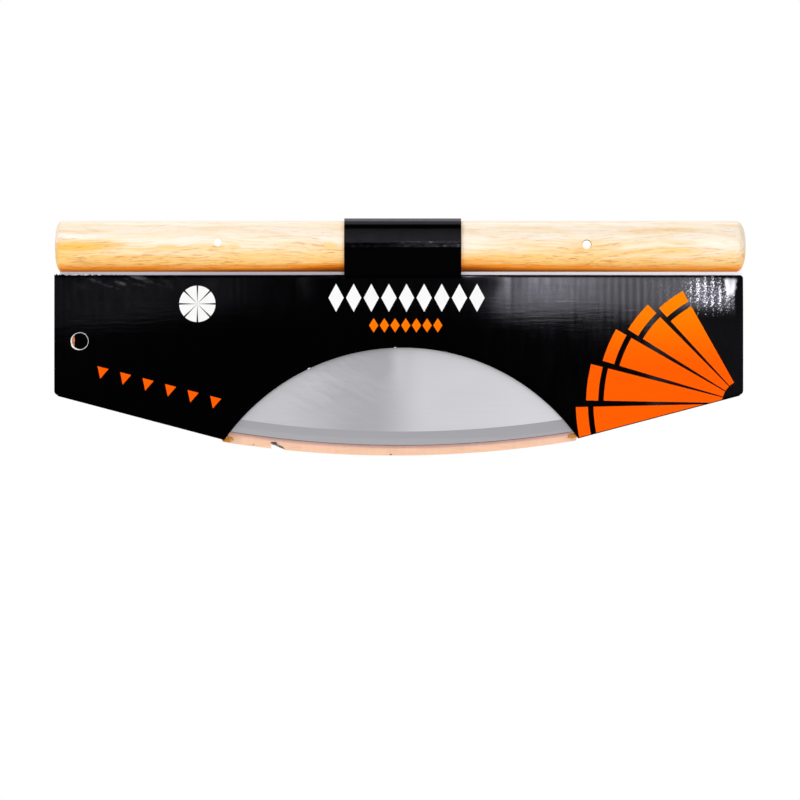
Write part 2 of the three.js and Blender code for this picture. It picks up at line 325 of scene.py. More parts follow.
# Each soft box: its direction, distance, width, height and power.
SOFTBOXES = {
    "right_softbox": (34, 32, LAMP_DISTANCE, 0.62, 0.5, 2.9),
    "left_softbox": (-37, 34, LAMP_DISTANCE, 0.62, 0.5, 6.2),
    "low_softbox": (0, -33, LOW_DISTANCE, 0.9, 0.15, 0.72),
    "back_softbox": (180, 60, LAMP_DISTANCE, 0.9, 0.6, 6.6),
}
# Each glint on the card: its tint, direction, width, height and power.
CARD_GLINTS = {
    "right_sheen": (COOL_WHITE, 9.6, 5.8, 0.107, 0.137, 74.0),
    "right_low_sheen": (COOL_WHITE, 7.6, 1.4, 0.088, 0.078, 10.0),
    "corner_glint": (PLAIN_WHITE, 14.3, 8.0, 0.142, 0.19, 13.0),
    "left_sheen": (COOL_WHITE, -12.4, 5.0, 0.073, 0.122, 2.2),
    "strap_top_glint": (COOL_WHITE, 180, 38, 0.5, 0.2, 2.9),
    "strap_bevel_glint": (COOL_WHITE, 180, 58, 0.5, 0.2, 1.4),
    "strap_slope_glint": (COOL_WHITE, 0, 34, 0.3, 0.2, 15.5),
}
# Each glint on the handle: the end it is aimed at, its place, width, height and power.
WOOD_GLINTS = {
    "right_end_glint": (HANDLE_END, (0.205, -0.46, 0.14), 0.09, 0.075, 0.6),
    "left_end_glint": (-HANDLE_END, (-0.205, -0.46, 0.33), 0.08, 0.05, 0.55),
}
for name, (azimuth, elevation, distance, *lamp) in SOFTBOXES.items():
    soft_lamp(name, from_direction(azimuth, elevation, distance), *lamp)
for name, (tint, azimuth, elevation, *lamp) in CARD_GLINTS.items():
    only_mirrored(soft_lamp(name, from_direction(azimuth, elevation), *lamp), card_gloss, tint)
for name, (end, place, *lamp) in WOOD_GLINTS.items():
    only_mirrored(soft_lamp(name, place, *lamp, Vector((end, 0, 0))), wood_gloss, PLAIN_WHITE)
print("stage:", len(bpy.data.lights), "lamps")

# %% [markdown]
# ## Sizes from the frame
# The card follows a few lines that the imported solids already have: the panel's ends and top, the strap's
# width and radius, the slope of the bottom folds, and the arcs of the blade's edge and of the window. The
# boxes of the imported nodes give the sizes, and the angles and radii that a box can't show are written once
# here.

# %% Sizes from the frame
handle_low, handle_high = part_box("handle")
front_low, front_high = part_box("front_panel")
back_low, back_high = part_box("back_panel")
strap_low, strap_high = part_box("strap_top")
flap_low, flap_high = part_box("left_flap")
pin_boxes = {name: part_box(name) for name in ("left_pin", "right_pin")}
blade_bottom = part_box("blade")[0].z

handle_radius = (handle_high.z - handle_low.z) / 2
handle_half = (handle_high.x - handle_low.x) / 2
handle_left = handle_low.x
pin_middles = {name: (low + high) / 2 for name, (low, high) in pin_boxes.items()}
pin_radius = (pin_boxes["left_pin"][1].x - pin_boxes["left_pin"][0].x) / 2
board = flap_high.y - flap_low.y
flap_inner = -flap_high.y
flap_outer = -flap_low.y
panel_left = front_low.x
panel_right = front_high.x
panel_top = front_high.z
panel_middle = (panel_left + panel_right) / 2
panel_half = (panel_right - panel_left) / 2
front_foot = -front_high.y
front_pull = -front_low.y - board - front_foot
back_foot = back_low.y
back_pull = back_high.y - board - back_foot
strap_left = strap_low.x
strap_right = strap_high.x
strap_middle = (strap_left + strap_right) / 2
strap_half = (strap_right - strap_left) / 2
strap_outer = strap_high.z
strap_inner = strap_low.z

FOLD_SLOPE = math.radians(14.8)
FOLD_THICKNESS = 0.8 * MM
CARD_CLEARANCE = 0.3 * MM
PANEL_LIFT = 0.5 * MM
PANEL_CORNER = 1.6 * MM
EDGE_RADIUS = 550 * MM
BEVEL_WIDTH = 7.2 * MM
LIP_REACH = 5 * MM
LIP_SHIFT = -3 * MM
LIP_END_RUN = 0.8 * MM
WINDOW_RADIUS = 109 * MM
WINDOW_RISE = 49.6 * MM
LEFT_STRETCH = 1.01
LEFT_DROP = 0.8 * MM
HOLE_RADIUS = 4.2 * MM
HOLE_INSET = 13 * MM
HOLE_DROP = 33.4 * MM
SHOULDER_FACING = math.radians(-21)
SLOPE_FACING = math.radians(16)
BEVEL_FACING = math.radians(66)

edge_centre_z = blade_bottom + EDGE_RADIUS
fold_meet = edge_centre_z - (EDGE_RADIUS + CARD_CLEARANCE + FOLD_THICKNESS) / math.cos(FOLD_SLOPE)
window_centre_z = blade_bottom + WINDOW_RISE - WINDOW_RADIUS
hole_x = panel_left + HOLE_INSET
hole_z = panel_top - HOLE_DROP
print(f"panel {panel_half * 2 / MM:.1f} mm wide, board {board / MM:.2f} mm")
print(f"fold lines meet at {fold_meet / MM:.1f} mm")

# %% [markdown]
# ## Lines of the sleeve
# Each panel is a set of upright columns. A column starts at the panel's lower line, ends at its top, and
# leans out where the strap pulls the board away from the blade. These small functions give those lines
# for any place along the handle, so that the printed paper, the flutes and the lining all follow the same
# shape.

# %% Lines of the sleeve
def clamp(value, low=0.0, high=1.0):
    return max(low, min(high, value))


def fold_foot(x):
    """Height at which a bottom fold's line would cross the middle. The left fold hangs a little lower."""
    return fold_meet - (LEFT_DROP if x < 0 else 0.0)


def fold_height(x):
    return fold_foot(x) + abs(x) * math.tan(FOLD_SLOPE)


def window_height(x):
    """The window's arc, cut a little wider on its left half."""
    across = (x - strap_middle) / (LEFT_STRETCH if x < strap_middle else 1.0)
    if abs(across) >= WINDOW_RADIUS:
        return fold_foot(x)
    return window_centre_z + math.sqrt(WINDOW_RADIUS ** 2 - across ** 2)


def window_tip(side):
    """Where the window's arc meets a fold's line: the outer root of a quadratic equation."""
    slope = side * math.tan(FOLD_SLOPE)
    rise = fold_foot(side) - window_centre_z
    narrow = 1 / LEFT_STRETCH ** 2 if side < 0 else 1.0
    a = narrow + slope * slope
    b = slope * rise - strap_middle * narrow
    c = strap_middle ** 2 * narrow + rise ** 2 - WINDOW_RADIUS ** 2
    return (-b + side * math.sqrt(b * b - a * c)) / a


left_tip = window_tip(-1)
right_tip = window_tip(1)
lip_gap = (FOLD_THICKNESS + CARD_CLEARANCE) * math.tan(FOLD_SLOPE)
lip_left = left_tip + lip_gap
lip_right = right_tip - lip_gap


def corner_drop(x):
    past = abs(x - panel_middle) - (panel_half - PANEL_CORNER)
    if past <= 0:
        return 0.0
    return PANEL_CORNER - math.sqrt(max(PANEL_CORNER ** 2 - past ** 2, 0.0))


def pull_share(x):
    past = abs(x - strap_middle) - strap_half
    if past <= 0:
        return 1.0
    end = panel_left if x < strap_middle else panel_right
    room = abs(end - strap_middle) - strap_half
    return (1 + math.cos(math.pi * min(past / room, 1.0))) / 2


def front_lower(x):
    return max(fold_height(x) + PANEL_LIFT, window_height(x)) + corner_drop(x)


def lip_height(x):
    return edge_centre_z - math.sqrt((EDGE_RADIUS + LIP_REACH) ** 2 - (x - LIP_SHIFT) ** 2)


def back_lower(x):
    raised = fold_height(x) + (FOLD_THICKNESS + CARD_CLEARANCE) / math.cos(FOLD_SLOPE) + corner_drop(x)
    past = clamp(max(lip_left + LIP_END_RUN - x, x - lip_right + LIP_END_RUN) / LIP_END_RUN)
    return lip_height(x) * (1 - past) + raised * past


def pulled_out(foot_depth, pull, x, z, foot):
    """Depth of a panel that the strap pulls out at its top and that stays in place at its foot."""
    return foot_depth + pull * pull_share(x) * max((z - foot) / (panel_top - foot), 0.0)


def front_depth(x, z):
    return pulled_out(front_foot, front_pull, x, z, max(fold_height(x), fold_height(left_tip)))


def back_depth(x, z):
    return pulled_out(back_foot, back_pull, x, z, back_lower(x))


print(f"window tips at {left_tip / MM:.1f} and {right_tip / MM:.1f} mm")

# %% [markdown]
# ## Wood
# The handle is a pale turned dowel under a thin varnish. Growth rings make long arches where the turning
# cuts across them, and short brown pores run along the grain. The wood is painted with shade as well: it
# goes from cream through a golden tone to orange towards its underside, darker still along the very bottom
# and next to the strap. A painted highlight makes a paler band higher up its round and on the front of the
# left end. A solid pattern in Object coordinates does this without any unwrapping: rings are the distance to
# a slightly tilted pith line behind the dowel, and pores are noise drawn out along the handle. The golden
# patches are a short list of given places, with edges that break up along the streaks.

# %% Wood
PITH_DEPTH = 30 * MM
PITH_HEIGHT = -2 * MM
PITH_TILT = 0.05
RING_PITCH = 2.4 * MM
RING_SWAY = 10 * MM
STREAK_SWAY = 14 * MM
# Painted shade: heights at which the wood turns golden, orange and dark brown towards its underside, how much
# higher the orange reaches by the strap, and how much less of it there is towards the right end.
GOLD_SHADE_TOP = -3.6 * MM
GOLD_SHADE_FOOT = 9.4 * MM
UNDER_SHADE_TOP = 8.2 * MM
UNDER_SHADE_FOOT = 11.7 * MM
BOTTOM_SHADOW_TOP = 11.0 * MM
BOTTOM_SHADOW_FOOT = 12.9 * MM
STRAP_SHADOW = 1.6 * MM
STRAP_SHADOW_REACH = 40 * MM
RIGHT_SHADE_FADE = 0.6 * MM
RIGHT_SHADE_FADE_START = 90 * MM
RIGHT_SHADE_FADE_END = 150 * MM
LEFT_PATCH_START = 12 * MM
LEFT_PATCH_END = 34 * MM
SAPWOOD = (0.98, 0.87, 0.73, 1)
RINGWOOD = (0.95, 0.70, 0.39, 1)
# Painted highlight: the pale band on the left end.
PALE_HIGHLIGHT_WOOD = (1.0, 0.95, 0.89, 1)
GOLDEN = (0.97, 0.59, 0.20, 1)
RICH_GOLD = (0.98, 0.52, 0.06, 1)
# Painted shade: the orange of the underside.
UNDERSIDE_SHADE_ORANGE = (0.98, 0.29, 0.014, 1)
PORE_BROWN = (0.50, 0.11, 0.004, 1)
# Each golden patch in millimetres: its place along the handle and up, its half sizes, and how deep it is.
GOLDEN_PATCHES = (
    (-160, -1.2, 27, 4.8, 1.0),
    (-118, -0.4, 8, 1.6, 0.8),
    (-84, -0.8, 5, 2.4, 0.8),
    (-36, -0.2, 6, 2.6, 0.8),
    (126, -4.2, 16, 2.6, 1.0),
    (166, -4.6, 12, 2.4, 0.8),
    (128, 7.2, 18, 2.8, 0.4),
)


def growth_rings(x, y, z, sway):
    """1 in the dark late wood of each ring."""
    across = y - PITH_DEPTH + x * PITH_TILT + sway * RING_SWAY
    up = z - PITH_HEIGHT + sway * RING_SWAY
    ring = from_centre(across, up) / RING_PITCH
    return ease((ring * (2 * math.pi)).math("SINE"), 0.1, 1.0)


def gold_and_shade_share(place, x, z, uneven):
    """How golden the wood is: more towards the underside, which is painted shade, and towards the left end, and
    in each patch.
    """
    drift = grain(place, (15, 50, 50), detail=2, offset=(4, 1, 0)) - 0.5
    # Painted shade: the wood turns golden lower down the handle, where less light falls.
    low = z * -1 - x.math("MINIMUM", 0.0) * 0.014 + drift * 0.016 + uneven * 0.02
    gold_and_shade = ease(low, GOLD_SHADE_TOP, GOLD_SHADE_FOOT)
    for at_x, at_z, half_x, half_z, depth in GOLDEN_PATCHES:
        spot = ((x / MM - at_x) / half_x) ** 2 + ((z / MM - at_z) / half_z) ** 2
        gold_and_shade = gold_and_shade.math("MAXIMUM", ease(1 - spot + uneven * 4, -0.5, 1.3) * depth)
    return gold_and_shade


def left_patch(colour, x, y, z, uneven):
    """A rich golden patch below a pale band of painted highlight, on the front of the left end and off its end
    grain.
    """
    near = ease(x, handle_left, handle_left + 2 * MM) * ease(y * -1, 0.0, 6 * MM)
    near = near * (1 - ease(x, handle_left + LEFT_PATCH_START, handle_left + LEFT_PATCH_END))
    rich = ease(z * -1 + uneven * 0.006, -2.8 * MM, -1.4 * MM) * ease(z, -6 * MM, -1 * MM)
    colour = mixed(rich * near * 0.6, colour, RICH_GOLD)
    # Painted highlight: a pale band across the front of the left end.
    return mixed(bell(z, 4.6 * MM, 2.4 * MM) * near * 0.7, colour, PALE_HIGHLIGHT_WOOD)


def handle_wood():
    constants = {"IOR": 1.45, "Specular IOR Level": 0.1, "Coat Roughness": 0.16, "Coat IOR": 1.5}
    material, shader, place = start_finish("handle_wood", constants)
    x, y, z = split(place)
    sway = grain(place, (14, 40, 40), detail=2) - 0.5
    slanted = joined(x, y, z + sway * STREAK_SWAY)
    streaks = grain(slanted, (16, 420, 420), detail=4, roughness=0.65)
    uneven = streaks - 0.5
    # Painted highlight: the streak tone fades in a band a little above the axis, where the lamps reflect in the
    # varnish.
    tone = ease(streaks, 0.42, 0.72) * (1 - bell(z, 4 * MM, 7 * MM) * 0.5)
    gold_and_shade = gold_and_shade_share(place, x, z, uneven)
    colour = mixed(growth_rings(x, y, z, sway) * 0.25 + tone * 0.7, SAPWOOD, RINGWOOD)
    colour = left_patch(mixed(gold_and_shade, colour, GOLDEN), x, y, z, uneven)
    # Painted shade and shadow: orange towards the underside, reaching higher next to the strap where its shadow
    # falls, and less of it towards the right end.
    strap_shadow = 1 - ease(abs(x - strap_middle), strap_half, strap_half + STRAP_SHADOW_REACH)
    deep = z * -1 + strap_shadow * STRAP_SHADOW - ease(x, RIGHT_SHADE_FADE_START, RIGHT_SHADE_FADE_END) * RIGHT_SHADE_FADE
    colour = mixed(ease(deep + uneven * 0.008, UNDER_SHADE_TOP, UNDER_SHADE_FOOT), colour, UNDERSIDE_SHADE_ORANGE)
    pores = ease(grain(slanted, (120, 1900, 1900), detail=2, roughness=0.6), 0.53, 0.66)
    crowded = ease(grain(place, (24, 130, 130), detail=2), 0.34, 0.6) * 0.6 + 0.4
    colour = mixed(pores * crowded * (0.2 + gold_and_shade * 0.44), colour, PORE_BROWN)
    feed(shader, {
        # Painted shadow: a dark brown line along the very bottom of the handle.
        "Base Color": mixed(ease(deep, BOTTOM_SHADOW_TOP, BOTTOM_SHADOW_FOOT) * 0.65, colour, PORE_BROWN),
        "Roughness": 0.42 + tone * 0.12 + pores * 0.2,
        "Coat Weight": 0.12 - pores * 0.08,
        "Normal": bumped(streaks * 0.5 - pores * crowded, 0.04 * MM),
    })
    return material


wood = handle_wood()
print("wood finish made")

# %% [markdown]
# ## Steel and pins
# The plate is rolled stainless steel, lightly brushed along its length, with a few wiped smears. Painted
# reflections lie over that: the plate is paler to the right, darkest just left of the middle, with a faint
# upright paler band and a darker patch, and a strip of painted light runs along its top between the handle
# and the card, shaded towards the left. The bevel is ground along the edge's arc, so its bands follow the
# distance from the arc's centre, and the last part of a millimetre is a dark line.
# Everything is one formula on that distance, which keeps the bands true to the solid's bevel. The pins are
# bright metal, and the handle's varnish has run over their rims.

# %% Steel and pins
PLATE_DARK = (0.375, 0.375, 0.395, 1)
PLATE_PALE = (0.605, 0.60, 0.625, 1)
PLATE_PAINTED_LIGHT = (0.90, 0.88, 0.95, 1)
PLATE_SHADE = (0.60, 0.56, 0.625, 1)
GROUND_GREY = (0.305, 0.30, 0.322, 1)
GROUND_PALE = (0.33, 0.33, 0.345, 1)
EDGE_DARK = (0.12, 0.12, 0.13, 1)
EDGE_LINE = 0.35 * MM
LIT_STRIP_LOW = -19 * MM
LIT_STRIP_HIGH = -15 * MM
PALE_BAND = 3.3 * MM
PALE_BAND_LOSS = 1.7 * MM
PALE_BAND_RAGGED = 2.2 * MM
PIN_WHITE = (0.90, 0.90, 0.89, 1)
SMEARED_WOOD = (0.95, 0.82, 0.62, 1)
PIN_BARE = {"left_pin": 0.7 * MM, "right_pin": 1.3 * MM}
PIN_RAGGED = 0.8 * MM


def plate_tone(x, y, z, clouds, lines):
    """How pale the plate is: painted reflections, paler away from the middle and most to the right, with an
    upright paler band and a darker patch, and real wiped smears.
    """
    # Painted reflections: paler to either side and most to the right, an upright paler band and a darker patch.
    right = ease(x, -14 * MM, 14 * MM) * 0.8 + ease(x, 10 * MM, 70 * MM) * 0.2
    left = ease(x * -1, 16 * MM, 70 * MM) * 0.5
    reflected_streak = bell(x, -1.5 * MM, 6 * MM) * ease(z, -78 * MM, -56 * MM) * 0.22
    reflected_blot = bell(x, -9 * MM, 9 * MM) * bell(z, -60 * MM, 11 * MM) * 0.2
    slanted = joined(x * 0.9 - z * 0.43, y, z * 0.9 + x * 0.43)
    smears = grain(slanted, (55, 55, 260), detail=4, roughness=0.6, offset=(7, 0, 2))
    smears = (smears - 0.48) * bell(x, -36 * MM, 44 * MM) * bell(z, -68 * MM, 30 * MM)
    return right + left + reflected_streak - reflected_blot + clouds * 0.35 + lines * 0.16 + smears * 1.1


def ground_bevel(place, x, inside, lines):
    """The bevel by the distance inside the edge: a paler band along the edge, narrower to the right."""
    ragged = grain(place, (60, 60, 260), detail=3, offset=(7, 0, 2)) - 0.5
    reach = PALE_BAND - ease(x, 0.0, 80 * MM) * PALE_BAND_LOSS
    lower = ease(reach - inside + ragged * PALE_BAND_RAGGED, -0.4 * MM, 0.4 * MM)
    ground = mixed(lower * 0.8 + lines * 0.3, GROUND_GREY, GROUND_PALE)
    return mixed(inside < EDGE_LINE, ground, EDGE_DARK)


def blade_steel():
    material, shader, place = start_finish("blade_steel", {"Metallic": 1.0})
    x, y, z = split(place)
    inside = EDGE_RADIUS - from_centre(x, edge_centre_z - z)
    clouds = grain(place, (14, 14, 22), detail=2, roughness=0.5) - 0.5
    lines = grain(place, (26, 900, 900), detail=2) - 0.5
    plate = mixed(plate_tone(x, y, z, clouds, lines), PLATE_DARK, PLATE_PALE)
    # Painted light: a bright strip along the top of the plate, between the handle and the card, shaded towards
    # the left.
    strip = mixed(ease(x, -60 * MM, 60 * MM), PLATE_SHADE, PLATE_PAINTED_LIGHT)
    plate = mixed(ease(z, LIT_STRIP_LOW, LIT_STRIP_HIGH), plate, strip)
    on_bevel = inside < BEVEL_WIDTH
    feed(shader, {
        "Base Color": mixed(on_bevel, plate, ground_bevel(place, x, inside, lines)),
        "Roughness": 0.34 + clouds * 0.1 + on_bevel * 0.06,
        "Normal": bumped(lines, 0.004 * MM),
    })
    return material


def pin_metal(name, middle, bare):
    """Bright metal inside a bare radius, and varnish the colour of the wood over the rim around it."""
    material, shader, place = start_finish(name + "_metal", {"Specular IOR Level": 0.1})
    x, _, z = split(place)
    turned = grain(place, (1200, 1200, 1200), detail=2)
    radius = from_centre(x - middle.x, z - middle.z) + (turned - 0.5) * PIN_RAGGED
    rim = ease(radius, bare, pin_radius)
    feed(shader, {
        "Base Color": mixed(rim, PIN_WHITE, SMEARED_WOOD),
        "Metallic": 1 - rim,
        "Roughness": 0.28 + turned * 0.2,
        "Normal": bumped(turned, 0.01 * MM),
    })
    return material


pin_finishes = {name: pin_metal(name, pin_middles[name], bare) for name, bare in PIN_BARE.items()}
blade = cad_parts["blade"]
blade.data.materials.clear()
blade.data.materials.append(blade_steel())
print("steel and pin finishes made")

# %% [markdown]
# ## Card finishes
# The card has three looks. Outside it is printed solid black under a gloss varnish, with a simple fan of
# slices, two bands of lozenges and a few small figures in white and orange. Inside it is bare kraft,
# peach coloured with fine fibres. Along a cut or a tear the white top paper shows. The print is drawn
# with distances in Object coordinates, so that it lies on the curved panel as ink would.

# %% Printed figures
INK_BLACK = (0.0003, 0.0003, 0.0005, 1)
INK_ORANGE = (0.96, 0.104, 0.0003, 1)
INK_AMBER = (0.96, 0.24, 0.0006, 1)
INK_WHITE = (0.84, 0.84, 0.84, 1)
ORANGE_HEIGHT = -64 * MM
AMBER_HEIGHT = -18 * MM
FAN_X = 174.5 * MM
FAN_Z = -79.5 * MM
FAN_START = math.radians(-16)
FAN_STEP = math.radians(15.5)
FAN_COUNT = 5
FAN_GAP = 0.1
FAN_REACH = 86 * MM
FAN_LOSS = 5.2 * MM
FAN_CORE = 12 * MM
CRUST_INSET = 7.5 * MM
CRUST_LINE = 1.4 * MM
LOZENGE_SHARPNESS = 1.15
DISC_SLICE = 0.44


def slice_fan(x, z):
    """Slices side by side that grow towards the lower left, each with a thin line along its crust."""
    left = FAN_X - x
    up = z - FAN_Z
    turn = (up.math("ARCTAN2", left) - FAN_START) / FAN_STEP
    share = within(turn)
    radius = from_centre(left, up)
    rim = FAN_REACH - turn.math("FLOOR") * FAN_LOSS
    wedge = (share > FAN_GAP) * (share < 1 - FAN_GAP / 2) * (turn > 0) * (turn < FAN_COUNT)
    crust = abs(rim - CRUST_INSET - radius) < CRUST_LINE
    return wedge * (radius < rim) * (1 - crust) * (radius > FAN_CORE)


def lozenge_band(x, z, middle_x, middle_z, pitch, height, count):
    """A straight row of upright lozenges."""
    run = (x - middle_x) / pitch + count / 2
    share = abs(within(run) - 0.5) * 2
    up = abs(z - middle_z) / (height / 2)
    return (share * LOZENGE_SHARPNESS + up < 1.0) * (run > 0) * (run < count)


def cut_disc(x, z, middle_x, middle_z, radius, count):
    """A disc cut into equal slices."""
    right = x - middle_x
    up = z - middle_z
    turn = up.math("ARCTAN2", right) * (count / (2 * math.pi)) + count
    return (from_centre(right, up) < radius) * (abs(within(turn) - 0.5) < DISC_SLICE)


def slice_row(x, z, first_x, first_z, pitch, size, count):
    """Small triangles in a row that runs along the slope of the bottom fold."""
    c, s = math.cos(FOLD_SLOPE), math.sin(FOLD_SLOPE)
    right = x - first_x
    up = z - first_z
    run = (right * c - up * s) / pitch
    rise = (right * s + up * c) / size
    share = abs(within(run) - 0.5) * (pitch / size)
    return (share < rise * 0.5) * (rise < 1.0) * (rise > 0) * (run > 0) * (run < count)


def front_figures(x, z, colour):
    """The front's figures in orange and white over a plain ground, and the share of orange ink."""
    small = slice_row(
        x, z, first_x=-158 * MM, first_z=-65.5 * MM, pitch=11.8 * MM, size=5.8 * MM, count=6)
    under = lozenge_band(
        x, z, middle_x=2.4 * MM, middle_z=-40.1 * MM, pitch=5.4 * MM, height=7.2 * MM, count=7)
    band = lozenge_band(
        x, z, middle_x=2.8 * MM, middle_z=-26.2 * MM, pitch=8.9 * MM, height=14.2 * MM, count=9)
    disc = cut_disc(x, z, middle_x=-103 * MM, middle_z=-29.2 * MM, radius=9.2 * MM, count=8)
    orange = slice_fan(x, z).math("MAXIMUM", small.math("MAXIMUM", under))
    ink = mixed(ease(z, ORANGE_HEIGHT, AMBER_HEIGHT), INK_ORANGE, INK_AMBER)
    return mixed(band.math("MAXIMUM", disc), mixed(orange, colour, ink), INK_WHITE), orange


print("figures: a fan, two bands, a disc and a row of slices")

# %% Card and paper
PAPER_WHITE = (0.80, 0.79, 0.77, 1)
PAPER_GREY = (0.42, 0.40, 0.38, 1)
WORN_INK = (0.014, 0.014, 0.018, 1)
CRACKED_INK = (0.22, 0.22, 0.23, 1)
KRAFT_PINK = (0.91, 0.54, 0.47, 1)
KRAFT_PEACH = (0.90, 0.57, 0.40, 1)
KRAFT_DARK = (0.66, 0.40, 0.25, 1)
EDGE_SHADE = (0.05, 0.04, 0.036, 1)
EDGE_BROWN = (0.13, 0.085, 0.055, 1)
RIM_SHADE = 3 * MM
PINK_MIDDLE = 0.2 * MM
PINK_REACH = 2.6 * MM
GLOSS_LEVEL = 0.005
FLAKE_GLOSS = 0.3
SMEAR_GLOSS = 0.25
BACK_GLOSS = 0.35
MATT_INK = 0.4
MATT_ORANGE = 0.75
DUST_SCALE = 55.0
GRAIN_SCALE = 2600.0
STREAK_SHIFT = 0.6 * MM
SPOT_INSET = 6.4 * MM
SPOT_HALF = 4.6 * MM
SPOT_TAPER = 0.22
WORN_LOW = -0.7 * MM
WORN_HIGH = 3.0 * MM
FLUTE_PITCH = 3.75 * MM


def cells(place, scale):
    """Space in cells: the distance to a cell's middle, and a number from 0 to 1 for the whole cell."""
    made = place.node("ShaderNodeTexVoronoi", {"feature": "F1"}, {"Vector": place, "Scale": scale})
    outputs = made.socket.node.outputs
    return Wire(outputs["Distance"]), split(Wire(outputs["Color"]))[0]


def dust(place):
    """A few pale specks: small spots in some of the cells of a coarse division of space."""
    distance, chance = cells(place, DUST_SCALE)
    return (distance < chance * 0.016) * (chance > 0.72)


def flute_wave(x):
    """0 to 1 and back over each flute."""
    return (x * (2 * math.pi / FLUTE_PITCH)).math("SINE") * 0.5 + 0.5


def worn_band(x, y, z):
    """Cracked ink just above the crease that the cover swings on, more of it to the right."""
    height = z - WORN_LOW
    band = (height > 0) * (height < WORN_HIGH) * (y < 0)
    return band * ease(x, strap_middle - 10 * MM, strap_middle + 6 * MM)


def right_margin(x):
    """1 along the right end, where the paper is matt."""
    return ease(x, panel_right - 5.4 * MM, panel_right - 3 * MM)


def corner_flakes(place, x, z):
    """Cracked varnish at the upper right: fine grain in upright streaks, and a bright bare spot."""
    along = ease(x, panel_right - 60 * MM, panel_right - 40 * MM) * 0.3
    along = along + ease(x, panel_right - 34 * MM, panel_right - 22 * MM) * 0.7
    along = along * (1 - right_margin(x))
    up = ease(z, panel_top - 24 * MM, panel_top - 10 * MM)
    up = up * (1 - ease(z, panel_top - 5 * MM, panel_top - 1 * MM) * 0.5)
    clumps = grain(place, (300, 300, 160), detail=2) - 0.5
    ridges = flute_wave(x + STREAK_SHIFT) ** 2 * 0.3 * along * along
    dense = along * up * (0.23 + ridges + clumps * 0.4)
    grains = ease(dense - cells(place, GRAIN_SCALE)[1], 0.0, 0.3)
    drop = panel_top - z
    spot = 1 - abs(x - panel_right + SPOT_INSET) / (SPOT_HALF - drop * SPOT_TAPER)
    bare = ease(spot + clumps * 1.6, 0.0, 0.7)
    bare = bare * ease(drop, 1.2 * MM, 2.6 * MM) * (1 - ease(drop, 8 * MM, 12 * MM))
    return grains.math("MAXIMUM", bare) * FLAKE_GLOSS


def left_smears(x, z):
    """Faint slanting smears in the varnish below the frayed top edge on the left."""
    along = bell(x, panel_left + 37 * MM, 30 * MM)
    up = ease(z, panel_top - 10 * MM, panel_top - 2 * MM)
    streaks = grain(joined(x - z * 0.5, 0.0, z + x * 0.35), (90, 90, 330), detail=3)
    return ease(streaks, 0.5, 0.72) * along * up * SMEAR_GLOSS


def matt_share(x, z, orange):
    """Where the print is duller: at the lower right, along the right end, and in the orange ink."""
    low_right = ease(x, panel_right - 52 * MM, panel_right - 34 * MM)
    low_right = low_right * (1 - ease(z, panel_top - 23 * MM, panel_top - 13 * MM))
    matt = low_right.math("MAXIMUM", right_margin(x)) * MATT_INK
    return matt.math("MAXIMUM", orange * MATT_ORANGE)


def card_print(name, figures=False, worn=False):
    """Varnished black print: with the front's figures and marks, or plain with a gloss of its own behind."""
    constants = {"IOR": 1.45, "Specular IOR Level": GLOSS_LEVEL, "Coat Roughness": 0.3, "Coat IOR": 1.5}
    material, shader, place = start_finish(name, constants)
    x, y, z = split(place)
    colour = mixed(dust(place) * 0.5, INK_BLACK, PAPER_WHITE)
    scuffs = grain(place, (240, 240, 60), detail=4, roughness=0.65)
    dull = 0.04 + ease(z, panel_top - 31 * MM, panel_top - 10 * MM) * 0.06 + scuffs * 0.14
    if figures:
        colour, orange = front_figures(x, z, colour)
        dull = dull + matt_share(x, z, orange)
        gloss = corner_flakes(place, x, z) * (1 - orange) + left_smears(x, z)
    else:
        gloss = ease(y, 2 * MM, 8 * MM) * BACK_GLOSS
    if worn:
        ragged = grain(place, (330, 330, 900), detail=4, roughness=0.7)
        band = worn_band(x, y, z)
        colour = mixed(band * ease(ragged, 0.38, 0.5), colour, WORN_INK)
        colour = mixed(band * ease(ragged, 0.62, 0.68), colour, CRACKED_INK)
    peel = grain(place, (1000, 1000, 800), detail=2, roughness=0.5)
    crushed = ease(x, 112 * MM, 162 * MM) * ease(z, panel_top - 24 * MM, panel_top - 8 * MM)
    scratches = grain(place, (70, 70, 700), detail=2)
    scratched = 0.4 + bell(z, panel_top - 24 * MM, 16 * MM) * 0.8
    relief = peel * (0.15 + crushed * 0.8) + scratches * scratched
    feed(shader, {
        "Base Color": colour, "Roughness": dull, "Coat Weight": gloss, "Normal": bumped(relief, 0.02 * MM)})
    return material


def bare_kraft():
    """Peach card with fibres, pink along the blade's edge and shaded round the window behind the front."""
    material, shader, place = start_finish("bare_kraft", {"Specular IOR Level": 0.05})
    x, y, z = split(place)
    below = from_centre(x, edge_centre_z - z) - EDGE_RADIUS
    fibres = grain(place, (90, 1100, 1100), detail=4, roughness=0.65)
    blotches = grain(place, (60, 60, 40), detail=3)
    specks = ease(grain(place, (420, 420, 900), detail=2), 0.66, 0.74)
    pink = bell(below + (fibres - 0.5) * 2 * MM, PINK_MIDDLE, PINK_REACH)
    darker = ease(fibres, 0.45, 0.8) * 0.35 + specks * 0.4
    darker = darker + ease(blotches, 0.4, 0.75) * 0.2 + flute_wave(x) * 0.06
    colour = mixed(darker, mixed(pink, KRAFT_PEACH, KRAFT_PINK), KRAFT_DARK)
    from_window = from_centre(x - strap_middle, z - window_centre_z) - WINDOW_RADIUS
    shade = (1 - ease(from_window, RIM_SHADE / 3, RIM_SHADE)) * (y < 0)
    feed(shader, {
        "Base Color": mixed(shade, colour, EDGE_BROWN),
        "Roughness": 0.8 + fibres * 0.15,
        "Normal": bumped(fibres, 0.05 * MM),
    })
    return material


